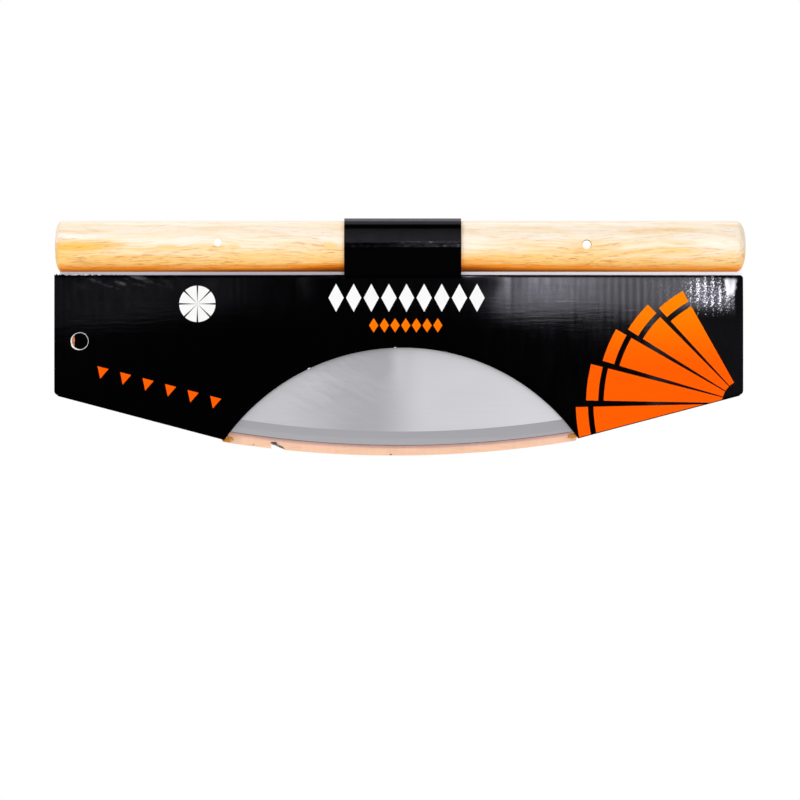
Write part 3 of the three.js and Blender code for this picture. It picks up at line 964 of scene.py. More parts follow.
def cut_edge():
    """The board's cut edge: brown and shaded, with specks of the white top paper."""
    material, shader, place = start_finish("cut_edge", {"Specular IOR Level": 0.02})
    fuzz = grain(place, (1300, 1300, 1300), detail=4, roughness=0.7)
    colour = mixed(ease(fuzz, 0.4, 0.6), EDGE_SHADE, EDGE_BROWN)
    feed(shader, {
        "Base Color": mixed(ease(fuzz, 0.66, 0.72), colour, PAPER_WHITE),
        "Roughness": 0.75 + fuzz * 0.2,
        "Normal": bumped(fuzz, 0.08 * MM),
    })
    return material


def torn_paper():
    material, shader, place = start_finish("torn_paper", {"Specular IOR Level": 0.2})
    fuzz = grain(place, (1500, 1500, 1500), detail=4, roughness=0.7)
    feed(shader, {
        "Base Color": mixed(ease(fuzz, 0.4, 0.75) * 0.5, PAPER_WHITE, PAPER_GREY),
        "Roughness": 0.8 + fuzz * 0.2,
        "Normal": bumped(fuzz, 0.08 * MM),
    })
    return material


front_print = card_print("front_print", figures=True)
plain_print = card_print("plain_print")
strap_print = card_print("strap_print", worn=True)
kraft = bare_kraft()
cut = cut_edge()
paper = torn_paper()
print("card finishes made")

# %% [markdown]
# ## From points to pieces
# Every piece made here is a closed shell of points and faces. A sheet of card is a grid of points with a
# thickness, so one function closes the space between two grids: an outer face, a rim and an inner face, each
# with its own finish. Round pieces are rings of points with bands of faces between them. Normals are
# recalculated on the closed shell, and edges sharper than a crease stay crisp.

# %% From points to pieces
CRISP_ANGLE = math.radians(38)
RAGGED_WAVES = 2.2
RAGGED_SEED = 5.0


def shell(name, points, faces, finishes=(), kinds=None):
    """A closed piece. Where there are several finishes, kinds gives the number of each face's own."""
    mesh = bpy.data.meshes.new(name)
    mesh.from_pydata(points, [], faces)
    for finish in finishes:
        mesh.materials.append(finish)
    if kinds:
        mesh.polygons.foreach_set("material_index", kinds)
    work = bmesh.new()
    work.from_mesh(mesh)
    bmesh.ops.recalc_face_normals(work, faces=work.faces)
    work.to_mesh(mesh)
    work.free()
    mesh.shade_smooth()
    mesh.set_sharp_from_angle(angle=CRISP_ANGLE)
    return put(name, mesh)


def around(count):
    return [2 * math.pi * k / count for k in range(count)]


def ring_faces(first, second, sides):
    """Faces between two rings of points that begin at these numbers."""
    return [(first + k, first + (k + 1) % sides, second + (k + 1) % sides, second + k) for k in range(sides)]


def cap_faces(centre, rings, sides):
    """Faces of a cap: a fan round its centre point, then bands out to the last of the rings after it."""
    first = centre + 1
    faces = [(centre, first + k, first + (k + 1) % sides) for k in range(sides)]
    for n in range(rings - 1):
        faces += ring_faces(first + n * sides, first + (n + 1) * sides, sides)
    return faces


def grid_faces(start, columns, rows):
    faces = []
    for i in range(columns - 1):
        for j in range(rows - 1):
            at = start + i * rows + j
            faces.append((at, at + rows, at + rows + 1, at + 1))
    return faces


def closed_sheet(name, outer, inner, finishes):
    """A closed sheet between two grids of points: its outer face, rim and inner face have a finish each."""
    columns, rows = outer.shape[:2]
    total = columns * rows
    border = [i * rows for i in range(columns)]
    border += [(columns - 1) * rows + j for j in range(1, rows)]
    border += [i * rows + rows - 1 for i in range(columns - 2, -1, -1)]
    border += list(range(rows - 2, 0, -1))
    rim = [(a, total + a, total + b, b) for a, b in zip(border, border[1:] + border[:1])]
    outside = grid_faces(0, columns, rows)
    inside = grid_faces(total, columns, rows)
    kinds = [0] * len(outside) + [2] * len(inside) + [1] * len(rim)
    points = np.concatenate([outer.reshape(-1, 3), inner.reshape(-1, 3)]).tolist()
    return shell(name, points, outside + inside + rim, finishes, kinds)


def baked(piece):
    """The piece with its modifiers turned into a plain mesh."""
    graph = bpy.context.evaluated_depsgraph_get()
    mesh = bpy.data.meshes.new_from_object(piece.evaluated_get(graph))
    piece.modifiers.clear()
    old = piece.data
    piece.data = mesh
    bpy.data.meshes.remove(old)
    mesh.name = piece.name
    return piece


def cut_away(piece, *cutters):
    for cutter in cutters:
        modifier = piece.modifiers.new("cut", "BOOLEAN")
        modifier.operation = "DIFFERENCE"
        modifier.solver = "EXACT"
        modifier.object = cutter
    baked(piece)
    for cutter in cutters:
        bpy.data.objects.remove(cutter)
    piece.data.set_sharp_from_angle(angle=CRISP_ANGLE)


def rod_along_y(name, radius, half, x, z, sides, kind=0, ragged=0.0):
    """A closed rod across the object. A ragged one has an uneven radius, as a torn hole has."""
    points = []
    for y in (-half, half):
        for a in around(sides):
            c, s = math.cos(a), math.sin(a)
            r = radius + ragged * noise.noise(Vector((c * RAGGED_WAVES, s * RAGGED_WAVES, RAGGED_SEED)))
            points.append((x + r * c, y, z + r * s))
    faces = [tuple(range(sides)), tuple(range(2 * sides - 1, sides - 1, -1))] + ring_faces(0, sides, sides)
    return shell(name, points, faces, kinds=[kind] * len(faces))


def box_between(name, low, high):
    corners = [(x, y, z) for x in (low[0], high[0]) for y in (low[1], high[1]) for z in (low[2], high[2])]
    faces = [(0, 1, 3, 2), (4, 6, 7, 5), (0, 4, 5, 1), (2, 3, 7, 6), (0, 2, 6, 4), (1, 5, 7, 3)]
    return shell(name, corners, faces)


def as_card(pieces, body=None, nodes=(), mirrors=True):
    """Attaches pieces to their body and hides the nodes they replace. Printed ones may mirror the card's lamps.
    """
    for piece in pieces:
        if body:
            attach(piece, body)
        if nodes:
            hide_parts(*nodes)
        if mirrors and piece.data.materials[0] in (front_print, plain_print, strap_print):
            card_gloss.objects.link(piece)


def even_steps(start, end, step):
    count = max(1, math.ceil((end - start) / step))
    return [start + (end - start) * i / count for i in range(count + 1)]


print("sheet and cutting tools are ready")

# %% [markdown]
# ## Handle and pins
# A turned part is a profile swept round its axis. The two ends were sanded by hand, so each has a
# rounding of its own. Rings every few millimetres keep the shading even where the saw slot and the two
# bores are cut out afterwards. The pins are sanded flush with the wood, so their ends follow its round,
# with a slightly softened rim, and the right one sits a little loose in its bore.

# %% Handle and pins
HANDLE_SIDES = 96
RING_STEP = 5 * MM
# Each end of the handle in millimetres: the radius of its flat face, the rounding's depth and the inset.
END_SHAPES = {-1: (5.2, 3.1, 0.0), 1: (3.2, 4.6, 0.5)}
END_STEPS = 10
SLOT_HALF = 0.9 * MM
SLOT_TOP = 6.15 * MM
PIN_SIDES = 40
PIN_RINGS = (0.3, 0.6)
PIN_RIM = 0.22 * MM
PIN_RIM_DROP = 0.08 * MM
BORE_SLACKS = {"left_pin": 0.03 * MM, "right_pin": 0.16 * MM}
BORE_SHIFT_RIGHT = 0.4
BORE_SHIFT_UP = 0.9


def rounded_end(side):
    """Places with their radius from an end's flat face to the straight part."""
    flat, depth, inset = [size * MM for size in END_SHAPES[side]]
    straight = handle_half - inset - depth
    rounded = []
    for i in range(END_STEPS + 1):
        t = i / END_STEPS * math.pi / 2
        x = side * (straight + depth * math.cos(t))
        rounded.append((x, flat + (handle_radius - flat) * math.sin(t)))
    return rounded


def turned_profile():
    """Places along the handle with their radius, from the left end to the right end."""
    left = rounded_end(-1)
    right = rounded_end(1)[::-1]
    rings = even_steps(left[-1][0], right[0][0], RING_STEP)[1:-1]
    return left + [(x, handle_radius) for x in rings] + right


def turned_handle():
    angles = around(HANDLE_SIDES)
    points = [(x, r * math.cos(a), r * math.sin(a)) for x, r in turned_profile() for a in angles]
    last = len(points) - HANDLE_SIDES
    faces = []
    for start in range(0, last, HANDLE_SIDES):
        faces += ring_faces(start, start + HANDLE_SIDES, HANDLE_SIDES)
    faces.append(tuple(range(HANDLE_SIDES)))
    faces.append(tuple(range(len(points) - 1, last - 1, -1)))
    return shell("handle_turned", points, faces, [wood])


def flush_pin(name, middle, finish):
    """Both ends follow the handle's round: rings of points from the middle out to a softened rim."""
    rings = [(share * pin_radius, 0.0) for share in PIN_RINGS]
    rings += [(pin_radius - PIN_RIM, 0.0), (pin_radius, PIN_RIM_DROP)]
    points = []
    faces = []
    for side in (-1, 1):
        faces += cap_faces(len(points), len(rings), PIN_SIDES)
        points.append((middle.x, side * math.sqrt(handle_radius ** 2 - middle.z ** 2), middle.z))
        for radius, drop in rings:
            for a in around(PIN_SIDES):
                z = middle.z + radius * math.sin(a)
                depth = math.sqrt(handle_radius ** 2 - z * z) - drop
                points.append((middle.x + radius * math.cos(a), side * depth, z))
    half = len(points) // 2
    faces += ring_faces(half - PIN_SIDES, 2 * half - PIN_SIDES, PIN_SIDES)
    return shell(name, points, faces, [finish])


handle = turned_handle()
reach = handle_radius * 2
slot_low = (-handle_half * 2, -SLOT_HALF, -reach)
slot = box_between("saw_slot", slot_low, (handle_half * 2, SLOT_HALF, SLOT_TOP))
bores = []
for name, slack in BORE_SLACKS.items():
    x = pin_middles[name].x + slack * BORE_SHIFT_RIGHT
    z = pin_middles[name].z + slack * BORE_SHIFT_UP
    bores.append(rod_along_y(name + "_bore", pin_radius + slack, reach, x, z, PIN_SIDES))
cut_away(handle, slot, *bores)
dressed = [(handle, "handle", "handle_wood")]
for name, middle in pin_middles.items():
    dressed.append((flush_pin(name + "_flush", middle, pin_finishes[name]), name, "pin_metal"))
for piece, node, slot_name in dressed:
    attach(piece, "cutter")
    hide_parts(node)
wood_gloss.objects.link(handle)
print("handle has", len(handle.data.polygons), "faces")

# %% [markdown]
# ## Flutes by Geometry Nodes
# Between the two papers of corrugated card runs a wavy one. Its waves repeat hundreds of times along every
# panel, so a small Geometry Nodes tree makes them from a flat closed sheet: each point moves across the board
# by a sine of its run along the panel. Two attributes on the sheet say how far along a point is and which way
# is out, so the same tree serves upright panels, the bent strap and the slanted flaps.

# %% Flutes by Geometry Nodes
def start_tree(name, inputs, output):
    """A new tree with these named inputs and one named output, and a wire from each input."""
    tree = bpy.data.node_groups.new(name, "GeometryNodeTree")
    for title, kind in inputs.items():
        tree.interface.new_socket(title, in_out="INPUT", socket_type="NodeSocket" + kind)
    tree.interface.new_socket(output, in_out="OUTPUT", socket_type="NodeSocketGeometry")
    given = tree.nodes.new("NodeGroupInput")
    return tree, [Wire(given.outputs[i]) for i in range(len(inputs))]


def end_tree(tree, geometry, finish):
    """Every tree ends alike: real geometry with its finish."""
    real = geometry.node("GeometryNodeRealizeInstances", None, {"Geometry": geometry})
    done = real.node("GeometryNodeSetMaterial", None, {"Geometry": real, "Material": finish})
    feed(tree.nodes.new("NodeGroupOutput"), {0: done})
    return tree


def run_tree(piece, tree, values):
    """Puts a piece through a tree. Inputs are set by name, through each socket's identifier."""
    modifier = piece.modifiers.new(tree.name, "NODES")
    modifier.node_group = tree
    for item in tree.interface.items_tree:
        if item.in_out == "INPUT" and item.name in values:
            modifier[item.identifier] = values[item.name]
    return baked(piece)


def flute_tree():
    inputs = {"Flat sheet": "Geometry", "Flute pitch": "Float", "Flute rise": "Float", "Paper": "Material"}
    tree, (sheet, pitch, rise, finish) = start_tree("card_flutes", inputs, "Fluted sheet")
    run = sheet.node("GeometryNodeInputNamedAttribute", {"data_type": "FLOAT"}, {"Name": "flute_run"})
    out = sheet.node("GeometryNodeInputNamedAttribute", {"data_type": "FLOAT_VECTOR"}, {"Name": "flute_out"})
    wave = (run / pitch * 2 * math.pi).math("SINE") * rise
    shift = out.node("ShaderNodeVectorMath", {"operation": "SCALE"}, {"Vector": out, "Scale": wave})
    moved = sheet.node("GeometryNodeSetPosition", None, {"Geometry": sheet, "Offset": shift})
    return end_tree(tree, moved, finish)


card_flutes = flute_tree()
print("flute tree has", len(card_flutes.nodes), "nodes")

# %% [markdown]
# ## Boards
# A board is three sheets over the same grid: the printed paper outside, the fluted one in the middle and
# the kraft lining inside. The printed paper shows the flutes beneath it as a faint washboard, which is
# real relief here and not only a bump. Where the board is crushed, along edges and creases, all three
# draw together.

# %% Boards
LINER_SHARE = 0.17
CORE_SHARE = 0.1
CORE_RISE = 0.27
WASHBOARD = 0.004 * MM
CRUSHED_WASHBOARD = 0.008 * MM
WASHBOARD_PATCH = 7 * MM
WASHBOARD_LEVEL = 0.5
WASHBOARD_SPREAD = 1.1
WASHBOARD_SEED = 1.7
CRUSH_START = 135 * MM
CRUSH_END = 165 * MM
COLUMN_STEP = FLUTE_PITCH / 8
EDGE_ROWS = (0.0, 0.35 * MM, 0.8 * MM, 1.5 * MM)
MIDDLE_ROWS = 20
ROW_NUMBERS = range(2 * len(EDGE_ROWS) + MIDDLE_ROWS - 1)
EDGE_CRUSH = 0.16 * MM
NOTCH = 0.02 * MM
CREASE_REACH = 1.8 * MM
CORNER_STEPS = 5


def washboard(x):
    """How far the flutes beneath lift the paper: little, and more towards the crushed right end."""
    crushed = clamp((x - CRUSH_START) / (CRUSH_END - CRUSH_START))
    patchy = noise.noise(Vector((x / WASHBOARD_PATCH, WASHBOARD_SEED, 0.0)))
    uneven = WASHBOARD_LEVEL + WASHBOARD_SPREAD * patchy
    ripple = WASHBOARD + (CRUSHED_WASHBOARD - WASHBOARD) * crushed
    return ripple * uneven * math.sin(2 * math.pi * x / FLUTE_PITCH)


def board_points(columns, rows, spot, depth, rippled):
    """Points at a share of the board's thickness. A spot is an inner point, the way out and the thickness."""
    points = np.zeros((len(columns), len(rows), 3))
    for i, x in enumerate(columns):
        wave = washboard(x) if rippled else 0.0
        for j, t in enumerate(rows):
            inner, out, thickness = spot(x, t)
            points[i, j] = inner + out * (thickness * depth + wave)
    return points


def board_sheet(name, columns, rows, spot, finish, outside=1.0, inside=0.0, rippled=True):
    """One sheet between two shares of the board's thickness. Crushed board is a single sheet of all of it."""
    outer = board_points(columns, rows, spot, outside, rippled)
    inner = board_points(columns, rows, spot, inside, rippled)
    return closed_sheet(name, outer, inner, (finish, cut, kraft))


def flute_sheet(core, columns, rows, spot):
    """Writes every point's run and way out on a flat sheet, and lets the tree make its waves."""
    runs = []
    ways = []
    for x in columns:
        for t in rows:
            _, out, thickness = spot(x, t)
            runs.append(x)
            ways.extend(out * thickness)
    core.data.attributes.new("flute_run", "FLOAT", "POINT").data.foreach_set("value", runs * 2)
    core.data.attributes.new("flute_out", "FLOAT_VECTOR", "POINT").data.foreach_set("vector", ways * 2)
    run_tree(core, card_flutes, {"Flute pitch": FLUTE_PITCH, "Flute rise": CORE_RISE, "Paper": kraft})


def layered_board(name, columns, rows, spot, finish):
    """Printed paper, flutes and lining over one grid."""
    half = CORE_SHARE / 2
    printed = board_sheet(name + "_print", columns, rows, spot, finish, 1.0, 1.0 - LINER_SHARE)
    lining = board_sheet(name + "_lining", columns, rows, spot, kraft, LINER_SHARE, 0.0)
    core = board_sheet(name + "_flutes", columns, rows, spot, kraft, 0.5 + half, 0.5 - half, rippled=False)
    flute_sheet(core, columns, rows, spot)
    return printed, core, lining


def columns_between(marks, step):
    columns = []
    for start, end in zip(marks, marks[1:]):
        columns += even_steps(start, end, step)[:-1]
    return columns + [marks[-1]]


def panel_marks():
    """Places along a panel where its outline turns."""
    turns = [i / CORNER_STEPS * math.pi / 2 for i in range(CORNER_STEPS + 1)]
    ends = [panel_half - PANEL_CORNER * (1 - math.sin(turn)) for turn in turns]
    corners = [panel_middle - end for end in ends] + [panel_middle + end for end in ends]
    strap_ends = [strap_left - NOTCH, strap_left, strap_right, strap_right + NOTCH]
    lip_ends = [lip_left, lip_left + LIP_END_RUN, lip_right - LIP_END_RUN, lip_right]
    return sorted(corners + strap_ends + lip_ends + [left_tip, right_tip])


def upright_rows(low, high, t):
    """Heights of a column's rows by number: some close to each edge, the rest spread evenly between them."""
    below = [low + d for d in EDGE_ROWS]
    above = [high - d for d in reversed(EDGE_ROWS)]
    span = above[0] - below[-1]
    between = [below[-1] + span * i / MIDDLE_ROWS for i in range(1, MIDDLE_ROWS)]
    return (below + between + above)[t]


def in_strap(x):
    return strap_left - NOTCH / 2 < x < strap_right + NOTCH / 2


def edge_crush(distance):
    near = clamp(1 - distance / EDGE_ROWS[-1])
    return EDGE_CRUSH * near * near


print("board tools are ready")

# %% [markdown]
# ## Front panel
# The front panel carries the print, the window and the punched hole. It ends a little below its crease under
# the strap, where a separate strip takes over up to the shoulder. Its upper right corner has been pressed back
# in handling and catches the lamp.

# %% Front panel
CURL_DEPTH = 1.0 * MM
CURL_WIDTH = 20 * MM
CURL_HEIGHT = 20 * MM
CURL_POWER = 1.6
ROLL_TURN = math.radians(5.4)
END_ROLL_TURN = math.radians(1.1)
ROLL_HEIGHT = 36 * MM
ROLL_BEND = 26 * MM
ROLL_START = 26 * MM
FRAY_REACH = 42 * MM
FRAY_RISE = 1.6 * MM
FRAY_TOOTH = 0.75 * MM
FRAY_SHARE = 0.15
FRAY_SEED = 8.0
PUNCH_SIDES = 48
PUNCH_HALF = 20 * MM
# How ragged the punched hole is in the printed paper, the flutes and the lining.
PUNCH_RAGGED = (0.35 * MM, 0.1 * MM, 0.1 * MM)
FORWARD = Vector((0, -1, 0))
BACKWARD = Vector((0, 1, 0))


def corner_curl(x, z):
    along = clamp((x - panel_right + CURL_WIDTH) / CURL_WIDTH)
    up = clamp((z - panel_top + CURL_HEIGHT) / CURL_HEIGHT)
    return CURL_DEPTH * (along * up) ** CURL_POWER


def top_roll(x, z):
    """The top leans back beside the strap, which holds it out: a soft bend, and straight above that."""
    past = abs(x - strap_middle) - strap_half
    free = clamp(past / ROLL_START)
    turn = ROLL_TURN + (END_ROLL_TURN - ROLL_TURN) * clamp(past / (panel_half - strap_half))
    rise = max(z - panel_top + ROLL_HEIGHT, 0.0)
    run = rise * rise / (2 * ROLL_BEND) if rise < ROLL_BEND else rise - ROLL_BEND / 2
    return math.tan(turn) * run * free * free * (3 - 2 * free)


def fray(x):
    """Small teeth along the top near the left end, where the cut edge has come apart."""
    near = clamp(1 - (x - panel_left) / FRAY_REACH)
    teeth = noise.noise(Vector((x / FRAY_TOOTH, FRAY_SEED, 0.0)))
    return FRAY_RISE * near * max(teeth + FRAY_SHARE, 0.0)


def front_upper(x):
    """The top line: below the crease under the strap, round at the right, frayed and square at the left."""
    if in_strap(x):
        return panel_top - CREASE_REACH
    return panel_top + fray(x) - (corner_drop(x) if x > panel_middle else 0.0)


def front_spot(x, t):
    low = front_lower(x)
    high = front_upper(x)
    z = upright_rows(low, high, t)
    depth = front_depth(x, z) - corner_curl(x, z) - top_roll(x, z)
    crush = 0.0 if in_strap(x) else edge_crush(high - z)
    thickness = board - crush - edge_crush(z - low)
    return Vector((x, -depth, z)), FORWARD, thickness


front_columns = columns_between(panel_marks(), COLUMN_STEP)
front_pieces = layered_board("front_panel", front_columns, ROW_NUMBERS, front_spot, front_print)
for piece, ragged in zip(front_pieces, PUNCH_RAGGED):
    punch = rod_along_y(
        "punch", HOLE_RADIUS, PUNCH_HALF, hole_x, hole_z, PUNCH_SIDES, kind=1, ragged=ragged)
    cut_away(piece, punch)
as_card(front_pieces, "cover_panel", ["front_panel"])
print("front panel:", [len(piece.data.polygons) for piece in front_pieces], "faces")

# %% [markdown]
# ## Back panel
# The back panel is plain. Its lower line follows the blade's edge as a narrow lip, which shows its kraft side
# below the blade in the window. The lip was torn once on the left, through all three sheets.

# %% Back panel
NICK_LEFT = -65.9 * MM
NICK_RIGHT = -58.9 * MM
NICK_RISE = 2.2 * MM
NICK_RAGGED = 0.25 * MM
NICK_TOOTH = 0.8 * MM
NICK_SEEDS = (3.0, 1.0)


def nick(x):
    """How far the tear reaches into the lip: an upright left side and a slanting right one."""
    if not NICK_LEFT <= x <= NICK_RIGHT:
        return 0.0
    ragged = NICK_RAGGED * noise.noise(Vector((x / NICK_TOOTH, *NICK_SEEDS)))
    return max(NICK_RISE * (NICK_RIGHT - x) / (NICK_RIGHT - NICK_LEFT) + ragged, 0.0)


def back_spot(x, t):
    low = back_lower(x) + nick(x)
    high = panel_top - (0.0 if in_strap(x) else corner_drop(x))
    z = upright_rows(low, high, t)
    thickness = board - edge_crush(high - z) - edge_crush(z - low)
    return Vector((x, back_depth(x, z), z)), BACKWARD, thickness


back_marks = sorted(panel_marks() + [NICK_LEFT - NOTCH, NICK_LEFT, NICK_RIGHT])
back_columns = columns_between(back_marks, COLUMN_STEP)
back_pieces = layered_board("back_panel", back_columns, ROW_NUMBERS, back_spot, plain_print)
as_card(back_pieces, "cutter", ["back_panel"])
print("back panel:", [len(piece.data.polygons) for piece in back_pieces], "faces")

# %% [markdown]
# ## Strap
# The strap is one length of the same card. Seen from the end it is a path: up the shoulder, round the
# handle in flat facets, and down to the back panel. The path's corners are rounded a little, because
# folded card never turns on a line. The same path in four lengths gives the fixed strap, the swinging
# shoulder and the two short strips between them.

# %% Strap
CREASE_ROUNDS = [1.3 * MM, 7.5 * MM, 4.2 * MM, 1.5 * MM, 2.5 * MM, 2.5 * MM, 4.2 * MM, 1.3 * MM]
CREASE_STEPS = 6
WORN_REACH = 3 * MM
BEVEL_BULGE = 0.35 * MM
CRUMPLE = 0.1 * MM
CRUMPLE_PATCH = 2.4 * MM
CRUMPLE_ROW = 0.9
CRUMPLE_SEED = 4.0
STRAP_NODES = [
    "strap_front_slope", "strap_front_bevel", "strap_top",
    "strap_back_bevel", "strap_back_slope", "back_shoulder"]


def facet_corner(radius, before, after):
    reach = radius / math.cos((after - before) / 2)
    middle = (before + after) / 2
    return np.array([reach * math.cos(middle), reach * math.sin(middle)])


def shoulder_depth(radius, z):
    return (radius - z * math.sin(SHOULDER_FACING)) / math.cos(SHOULDER_FACING)


def strap_corners(radius, board_depth):
    """The path's corners, as depth in front of the axis and height, from the front panel over to the back.

    The front bevel has a soft crease of its own half way up.
    """
    facings = [SHOULDER_FACING, SLOPE_FACING, BEVEL_FACING, math.pi / 2]
    facings += [math.pi - facing for facing in reversed(facings[:-1])]
    corners = [facet_corner(radius, a, b) for a, b in zip(facings, facings[1:])]
    out = np.array([math.cos(BEVEL_FACING), math.sin(BEVEL_FACING)])
    corners.insert(2, (corners[1] + corners[2]) / 2 + out * BEVEL_BULGE)
    below = panel_top - CREASE_REACH
    top = shoulder_depth(radius, panel_top)
    foot = np.array([front_depth(strap_middle, below) + board_depth, below])
    return [foot, np.array([top, panel_top])] + corners + [np.array([-top, panel_top])]


def direction(start, end):
    return (end - start) / np.linalg.norm(end - start)


def rounded_corner(before, corner, after, radius):
    """Points of a small round bend in place of a sharp corner."""
    into = direction(before, corner)
    away = direction(corner, after)
    half_turn = math.acos(clamp(float(into @ away), -1.0, 1.0)) / 2
    run = radius * math.tan(half_turn)
    steps = [i / CREASE_STEPS for i in range(CREASE_STEPS + 1)]
    start = corner - into * run
    end = corner + away * run
    return [start * (1 - t) ** 2 + corner * 2 * t * (1 - t) + end * t * t for t in steps]


def strap_lengths(radius, board_depth):
    """The path in four lengths: the panel's crease, the shoulder, the worn crease and the strap itself."""
    corners = strap_corners(radius, board_depth)
    bends = [rounded_corner(*four) for four in zip(corners, corners[1:], corners[2:], CREASE_ROUNDS)]
    up = direction(corners[1], corners[2])
    shoulder_start = corners[1] + up * CREASE_REACH
    shoulder_end = corners[2] - up * WORN_REACH
    strap_start = corners[2] + direction(corners[2], corners[3]) * WORN_REACH
    rest = [point for bend in bends[2:] for point in bend]
    return {
        "panel_crease": [corners[0]] + bends[0] + [shoulder_start],
        "shoulder": [shoulder_start, (shoulder_start + shoulder_end) / 2, shoulder_end],
        "worn_crease": [shoulder_end] + bends[1] + [strap_start],
        "strap": [strap_start] + rest + [corners[-1]],
    }


outer_lengths = strap_lengths(strap_outer, board)
inner_lengths = strap_lengths(strap_inner, 0.0)
strap_columns = even_steps(strap_left, strap_right, COLUMN_STEP)


def path_spot(length, crumple=0.0):
    """Places on one length of the path. A crumpled one is uneven between its ends."""
    outer = outer_lengths[length]
    inner = inner_lengths[length]

    def spot(x, t):
        a = Vector((x, -inner[t][0], inner[t][1]))
        b = Vector((x, -outer[t][0], outer[t][1]))
        way = b - a
        fade = math.sin(math.pi * t / (len(outer) - 1))
        dents = noise.noise(Vector((x / CRUMPLE_PATCH, t * CRUMPLE_ROW, CRUMPLE_SEED)))
        return a, way.normalized(), way.length + crumple * fade * dents
    return spot


def bend_between(piece, last_body, first_edge, last_edge):
    """Bakes a strip's place into its mesh. The last body and the two edges are not used."""
    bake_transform(piece)


def edge_points(length, t):
    both = (outer_lengths[length][t], inner_lengths[length][t])
    return [(0.0, -depth, height) for depth, height in both]


def whole(length):
    return range(len(outer_lengths[length]))


for name, body, nodes, finish in (
    ("strap", "cutter", STRAP_NODES, strap_print),
    ("shoulder", "cover_shoulder", ["front_shoulder"], plain_print),
):
    pieces = layered_board(name, strap_columns, whole(name), path_spot(name), finish)
    as_card(pieces, body, nodes)
    print(name + ":", [len(piece.data.polygons) for piece in pieces], "faces")
for name, first_body, last_body, finish, crumple, mirrors in (
    ("worn_crease", "cover_shoulder", "cutter", strap_print, CRUMPLE, True),
    ("panel_crease", "cover_panel", "cover_shoulder", plain_print, 0.0, False),
):
    strip = board_sheet(name, strap_columns, whole(name), path_spot(name, crumple), finish)
    bend_between(strip, last_body, edge_points(name, 0), edge_points(name, -1))
    as_card([strip], mirrors=mirrors)
    print(name, "bends between", first_body, "and", last_body)

# %% [markdown]
# ## Bottom folds and flaps
# Below the blade the back panel turns up again into two flaps behind the front panel. The turn is crushed
# card that runs along a slanted line, so its pieces are drawn in that line's own directions: along it,
# and square to it. The flaps drop when the cover is lifted, and another strip of board lies between each
# flap and its fold.

# %% Bottom folds and flaps
FLAP_HEIGHT = 38 * MM
FLAP_OUTER_INSET = 10.3 * MM
FLAP_INNER_INSET = 8 * MM
FOLD_ROUND = 0.72 * MM
FOLD_STEP = 3 * MM
BEND_TOP = 2.6 * MM
BEND_MARGIN = 0.05 * MM
BEND_ROWS = 9
FLAP_ROWS = 5
flap_foot = FOLD_THICKNESS + CARD_CLEARANCE
flap_head = flap_foot + FLAP_HEIGHT


def fold_point(side, tip, along, y, up):
    """A point given along a bottom fold's line, outwards from the window's tip, and square to it."""
    c, s = math.cos(FOLD_SLOPE), math.sin(FOLD_SLOPE)
    return Vector((tip + side * (along * c - up * s), y, fold_height(tip) + along * s + up * c))


def round_turn(y, side):
    """The round outer corner under the blade, from the back face to the underside or on to the front face."""
    angles = [i / CREASE_STEPS * math.pi / 2 for i in range(CREASE_STEPS + 1)]
    turn = [(y - side * FOLD_ROUND * (1 - math.cos(a)), FOLD_ROUND * (1 - math.sin(a))) for a in angles]
    return turn if side > 0 else turn[::-1]


turn_outer = [(flap_outer, flap_foot)] + round_turn(flap_outer, 1)
turn_outer += round_turn(-flap_outer, -1) + [(-flap_outer, FOLD_THICKNESS)]
turn_inner = []
for number in range(len(turn_outer)):
    share = clamp((number - 1) / (len(turn_outer) - 3)) * 2 - 1
    height = flap_foot if number == 0 else FOLD_THICKNESS
    turn_inner.append((-share * flap_inner, height))


def turn_spot(side, tip):
    def spot(along, t):
        inner = fold_point(side, tip, along, *turn_inner[t])
        way = fold_point(side, tip, along, *turn_outer[t]) - inner
        return inner, way.normalized(), way.length
    return spot


def flap_spot(side, tip, reach_low, low, high, rows):
    """A flap's outer edge is upright, so the flap is a little longer at its head than at its foot."""
    def spot(share, t):
        up = low + (high - low) * t / (rows - 1)
        reach = reach_low + up * math.tan(FOLD_SLOPE)
        along = FLAP_INNER_INSET + (reach - FLAP_INNER_INSET) * share / reach_low
        return fold_point(side, tip, along, -flap_inner, up), FORWARD, board
    return spot


for name, side, tip, end in (("left", -1, left_tip, panel_left), ("right", 1, right_tip, panel_right)):
    runs = even_steps(0.0, abs(end - tip) / math.cos(FOLD_SLOPE) - PANEL_CORNER, FOLD_STEP)
    fold = board_sheet(name + "_fold", runs, range(len(turn_outer)), turn_spot(side, tip), plain_print)
    as_card([fold], "cutter", [name + "_bottom_fold"])
    reach_low = (abs(end - tip) - FLAP_OUTER_INSET) / math.cos(FOLD_SLOPE)
    shares = even_steps(0.0, reach_low, COLUMN_STEP)
    spot = flap_spot(side, tip, reach_low, BEND_TOP, flap_head, FLAP_ROWS)
    flap_pieces = layered_board(name + "_flap", shares, range(FLAP_ROWS), spot, plain_print)
    as_card(flap_pieces, name + "_flap", [name + "_flap"])
    spot = flap_spot(side, tip, reach_low, FOLD_THICKNESS, BEND_TOP, BEND_ROWS)
    strip = board_sheet(name + "_flap_crease", shares, range(BEND_ROWS), spot, plain_print)
    foot = [fold_point(side, tip, FLAP_INNER_INSET, -flap_outer, FOLD_THICKNESS + BEND_MARGIN)]
    head = [fold_point(side, tip, FLAP_INNER_INSET, -flap_outer, BEND_TOP - BEND_MARGIN)]
    bend_between(strip, name + "_flap", foot, head)
    as_card([strip])
print("bottom folds and flaps made")

# %% [markdown]
# ## Torn rim of the punched hole
# The hole was punched by hand, and the white top paper is torn round its rim. A low uneven ring of paper
# makes the rim, and a Geometry Nodes tree sets small fibres along it: points on a circle, each with a
# sliver of its own turn and length, from a fixed seed.

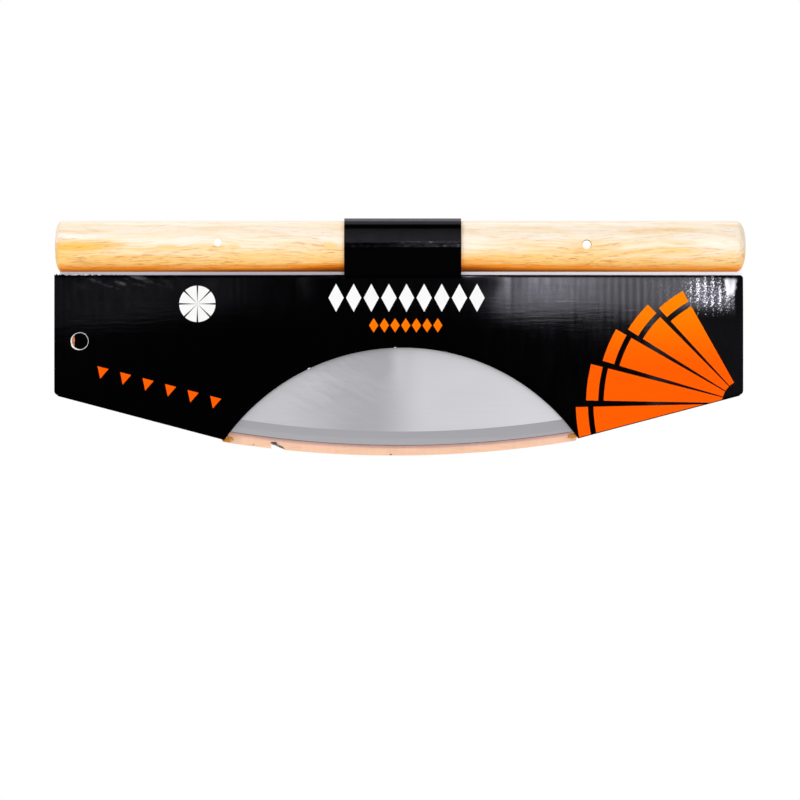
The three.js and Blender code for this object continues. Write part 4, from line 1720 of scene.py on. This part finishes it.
# %% Torn rim of the punched hole
RIM_STEPS = 72
HEAVY_SIDE = math.radians(205)
# The rim's reach into the hole and out over the card, each as a light share and more on the heavy side.
RIM_IN = (0.05 * MM, 0.15 * MM)
RIM_OUT = (0.22 * MM, 0.42 * MM)
RIM_WAVE = (0.1 * MM, 0.2 * MM)
RIM_WAVES = 2.6
RIM_FUZZ = 0.08 * MM
RIM_FUZZ_WAVES = 9.0
RIM_WAVE_SEED = Vector((0, 2.0, 0))
RIM_FUZZ_SEED = Vector((0, 6.0, 0))
# Heights of the ring's four corners: inner edge, crest, outer edge and root.
RIM_HEIGHTS = (0.02 * MM, 0.14 * MM, 0.03 * MM, -0.12 * MM)
FIBRE_COUNT = 70
FIBRE_LENGTH = 0.5 * MM
FIBRE_RADIUS = 0.055 * MM
FIBRE_INSET = 0.16 * MM
FIBRE_LIFT = 0.02 * MM
FIBRE_SIZES = (0.5, 1.2)
FIBRE_SEED = 7
CIRCLE_STEPS = 64
hole_face = -(front_depth(hole_x, hole_z) + board)


def torn_rim():
    middle = Vector((hole_x, hole_face, hole_z))
    points = []
    faces = []
    for i, a in enumerate(around(RIM_STEPS)):
        way = Vector((math.cos(a), 0, math.sin(a)))
        heavy = clamp(math.cos(a - HEAVY_SIDE)) ** 2
        into, out, wave = [light + more * heavy for light, more in (RIM_IN, RIM_OUT, RIM_WAVE)]
        fuzz = RIM_FUZZ * noise.noise(way * RIM_FUZZ_WAVES + RIM_FUZZ_SEED)
        inner = HOLE_RADIUS - into + fuzz
        wavy = wave * noise.noise(way * RIM_WAVES + RIM_WAVE_SEED)
        outer = HOLE_RADIUS + out + wavy + fuzz
        crest = (inner + outer) / 2
        for radius, height in zip((inner, crest, outer, crest), RIM_HEIGHTS):
            points.append(middle + way * radius + FORWARD * height)
        faces += ring_faces(4 * i, 4 * ((i + 1) % RIM_STEPS), 4)
    return shell("torn_rim", points, faces, [paper])


def fibre_tree():
    inputs = {
        "Hole radius": "Float", "Fibre count": "Int", "Fibre length": "Float",
        "Place": "Vector", "Seed": "Int", "Paper": "Material"}
    tree, (radius, count, length, place, seed, finish) = start_tree("torn_fibres", inputs, "Fibres")
    circle = radius.node(
        "GeometryNodeCurvePrimitiveCircle", {"mode": "RADIUS"},
        {"Resolution": CIRCLE_STEPS, "Radius": radius})
    points = circle.node("GeometryNodeCurveToPoints", {"mode": "COUNT"}, {"Curve": circle, "Count": count})
    sliver_form = {
        "Vertices": 4, "Side Segments": 1, "Radius Top": 0.0, "Radius Bottom": FIBRE_RADIUS, "Depth": length}
    sliver = points.node("GeometryNodeMeshCone", {"fill_type": "NGON"}, sliver_form)
    turn = points.node(
        "FunctionNodeRandomValue", {"data_type": "FLOAT_VECTOR"},
        {0: (0.0, 0.0, 0.0), 1: (math.pi, math.pi, 2 * math.pi), "Seed": seed})
    size = points.node(
        "FunctionNodeRandomValue", {"data_type": "FLOAT"},
        {2: FIBRE_SIZES[0], 3: FIBRE_SIZES[1], "Seed": seed + 1}, out=1)
    placed = points.node(
        "GeometryNodeInstanceOnPoints", None,
        {"Points": points, "Instance": sliver, "Rotation": turn, "Scale": size})
    upright = placed.node(
        "GeometryNodeTransform", None,
        {"Geometry": placed, "Translation": place, "Rotation": (math.pi / 2, 0.0, 0.0)})
    return end_tree(tree, upright, finish)


rim_pieces = [torn_rim(), put("rim_fibres", bpy.data.meshes.new("rim_fibres"))]
run_tree(rim_pieces[1], fibre_tree(), {
    "Hole radius": HOLE_RADIUS + FIBRE_INSET, "Fibre count": FIBRE_COUNT, "Fibre length": FIBRE_LENGTH,
    "Place": (hole_x, hole_face - FIBRE_LIFT, hole_z), "Seed": FIBRE_SEED, "Paper": paper,
})
as_card(rim_pieces, "cover_panel")
print("torn rim:", [len(piece.data.polygons) for piece in rim_pieces], "faces")

# %% [markdown]
# ## Torn bits, amber shade and lit kraft
# Small marks of use and making tell that this is card and not plastic: curled bits of dark paper at the tear,
# and pale chips along the window's edge and the frayed top. Two more bits are painted shade and light: amber
# drops where the lip meets the folds, in the colour that the kraft has in the shade there, and a bright bit of
# kraft inside the hole, where light falls on its wall. Each is a little closed form with an uneven outline and
# a raised middle, placed on the face that carries it.

# %% Torn bits, amber shade and lit kraft
BIT_SIDES = 22
# Rings of a bit from its middle outwards: the share of its half axes and of its rise.
BIT_RINGS = [(0.45, 1.0), (0.8, 0.8), (1.0, 0.35), (1.0, -0.3)]
BIT_UNEVEN = 0.35
BIT_WAVES = 1.8
BIT_SEED_STEP = 900
BIT_LIFT = 0.15 * MM
AMBER = (0.48, 0.17, 0.02, 1)
AMBER_PALE = (0.76, 0.34, 0.07, 1)
KRAFT_BROWN = (0.42, 0.13, 0.04, 1)
KRAFT_ORANGE = (0.80, 0.33, 0.13, 1)
TEAL_DARK = (0.035, 0.05, 0.052, 1)
TEAL_PALE = (0.20, 0.25, 0.25, 1)


def mottled(name, dark, pale, roughness):
    """A finish of two tones in fine patches."""
    material, shader, place = start_finish(name, {"Specular IOR Level": 0.3})
    patches = grain(place, (900, 900, 1400), detail=3)
    feed(shader, {
        "Base Color": mixed(ease(patches, 0.4, 0.65), dark, pale),
        "Roughness": patches * 0.2 + roughness,
        "Normal": bumped(patches, 0.05 * MM),
    })
    return material


def small_bit(name, middle, along, up, rise, finish):
    """A closed bit on a face that looks forward: two half axes and its middle's rise, in millimetres."""
    middle = Vector(middle)
    along = Vector((along[0], 0, along[1])) * MM
    up = Vector((up[0], 0, up[1])) * MM
    lift = FORWARD * rise * MM
    points = [middle + lift]
    for share, height in BIT_RINGS:
        for a in around(BIT_SIDES):
            c, s = math.cos(a), math.sin(a)
            way = along * c + up * s
            seed = middle.x * BIT_SEED_STEP
            uneven = 1 + BIT_UNEVEN * noise.noise(Vector((c * BIT_WAVES, s * BIT_WAVES, seed)))
            points.append(middle + way * share * uneven + lift * height)
    faces = cap_faces(0, len(BIT_RINGS), BIT_SIDES)
    faces.append(tuple(range(len(points) - BIT_SIDES, len(points))))
    return shell(name, points, faces, [finish])


def lip_spot(x, above):
    """A place on the lip's kraft face, a little above its lower line."""
    z = back_lower(x) + above
    return (x, back_depth(x, z), z)


def window_spot(x):
    """A place on the front panel's face, at the window's edge."""
    z = window_height(x) + BIT_LIFT
    return (x, -(front_depth(x, z) + board - EDGE_CRUSH), z)


def top_spot(x):
    """A place on the front panel's face, at its frayed top edge."""
    return (x, -(front_depth(x, panel_top) + board - EDGE_CRUSH), panel_top + BIT_LIFT)


# Painted shade: amber drops in the colour that the kraft has in the shade at the window's tips.
amber_shade = mottled("amber_shade_drop", AMBER, AMBER_PALE, 0.45)
# Painted light: bright orange kraft, as the hole's wall looks where light falls on it.
lit_kraft = mottled("lit_kraft", KRAFT_BROWN, KRAFT_ORANGE, 0.7)
torn_ink = mottled("torn_ink", TEAL_DARK, TEAL_PALE, 0.6)
# Painted light: the place of the bright kraft bit on the hole's left wall.
hole_lit_kraft = (hole_x - 3.5 * MM, hole_face + 0.4 * MM, hole_z - 0.3 * MM)
lip_bits = {
    "left_amber_shade": (lip_spot(-88.2 * MM, 1.8 * MM), (2.9, -0.5), (0.4, 1.7), 0.25, amber_shade),
    "right_amber_shade": (lip_spot(87.0 * MM, 2.5 * MM), (2.5, 0.4), (0.0, 1.3), 0.25, amber_shade),
    "tear_curl": (lip_spot(-64.4 * MM, 2.9 * MM), (1.8, -0.3), (0.2, 0.75), 0.5, torn_ink),
    "tear_edge": (lip_spot(-61.8 * MM, 1.7 * MM), (2.9, -1.3), (0.2, 0.4), 0.4, torn_ink),
    "lip_speck": (lip_spot(-74.8 * MM, 0.9 * MM), (0.3, 0.0), (0.0, 0.3), 0.12, torn_ink),
    "lip_chip": (lip_spot(-5.2 * MM, 0.5 * MM), (0.6, 0.1), (0.0, 0.35), 0.12, torn_ink),
}
panel_bits = {
    "left_chip": (window_spot(-46.6 * MM), (0.7, 0.35), (-0.1, 0.25), 0.14, paper),
    "middle_chip": (window_spot(-3.0 * MM), (0.6, 0.0), (0.0, 0.2), 0.14, paper),
    "right_chip": (window_spot(22.8 * MM), (0.7, -0.15), (0.0, 0.25), 0.14, kraft),
    "hole_lit_kraft": (hole_lit_kraft, (0.85, 0.0), (0.25, 2.6), 0.2, lit_kraft),
}
# Chips along the frayed top, in millimetres: the place of each and its half width.
FRAY_CHIPS = {-169.2: 0.9, -166.4: 0.5, -164.8: 1.1, -161.6: 0.5, -159.4: 1.3, -156.2: 0.6, -152.6: 0.8}
for number, (x, half) in enumerate(FRAY_CHIPS.items()):
    panel_bits[f"fray_chip_{number}"] = (top_spot(x * MM), (half, 0.1), (0.05, 0.22), 0.12, paper)
for bits, body in ((lip_bits, "cutter"), (panel_bits, "cover_panel")):
    as_card([small_bit(name, *form) for name, form in bits.items()], body)
print("bits:", len(lip_bits), "on the lip and", len(panel_bits), "on the front panel")
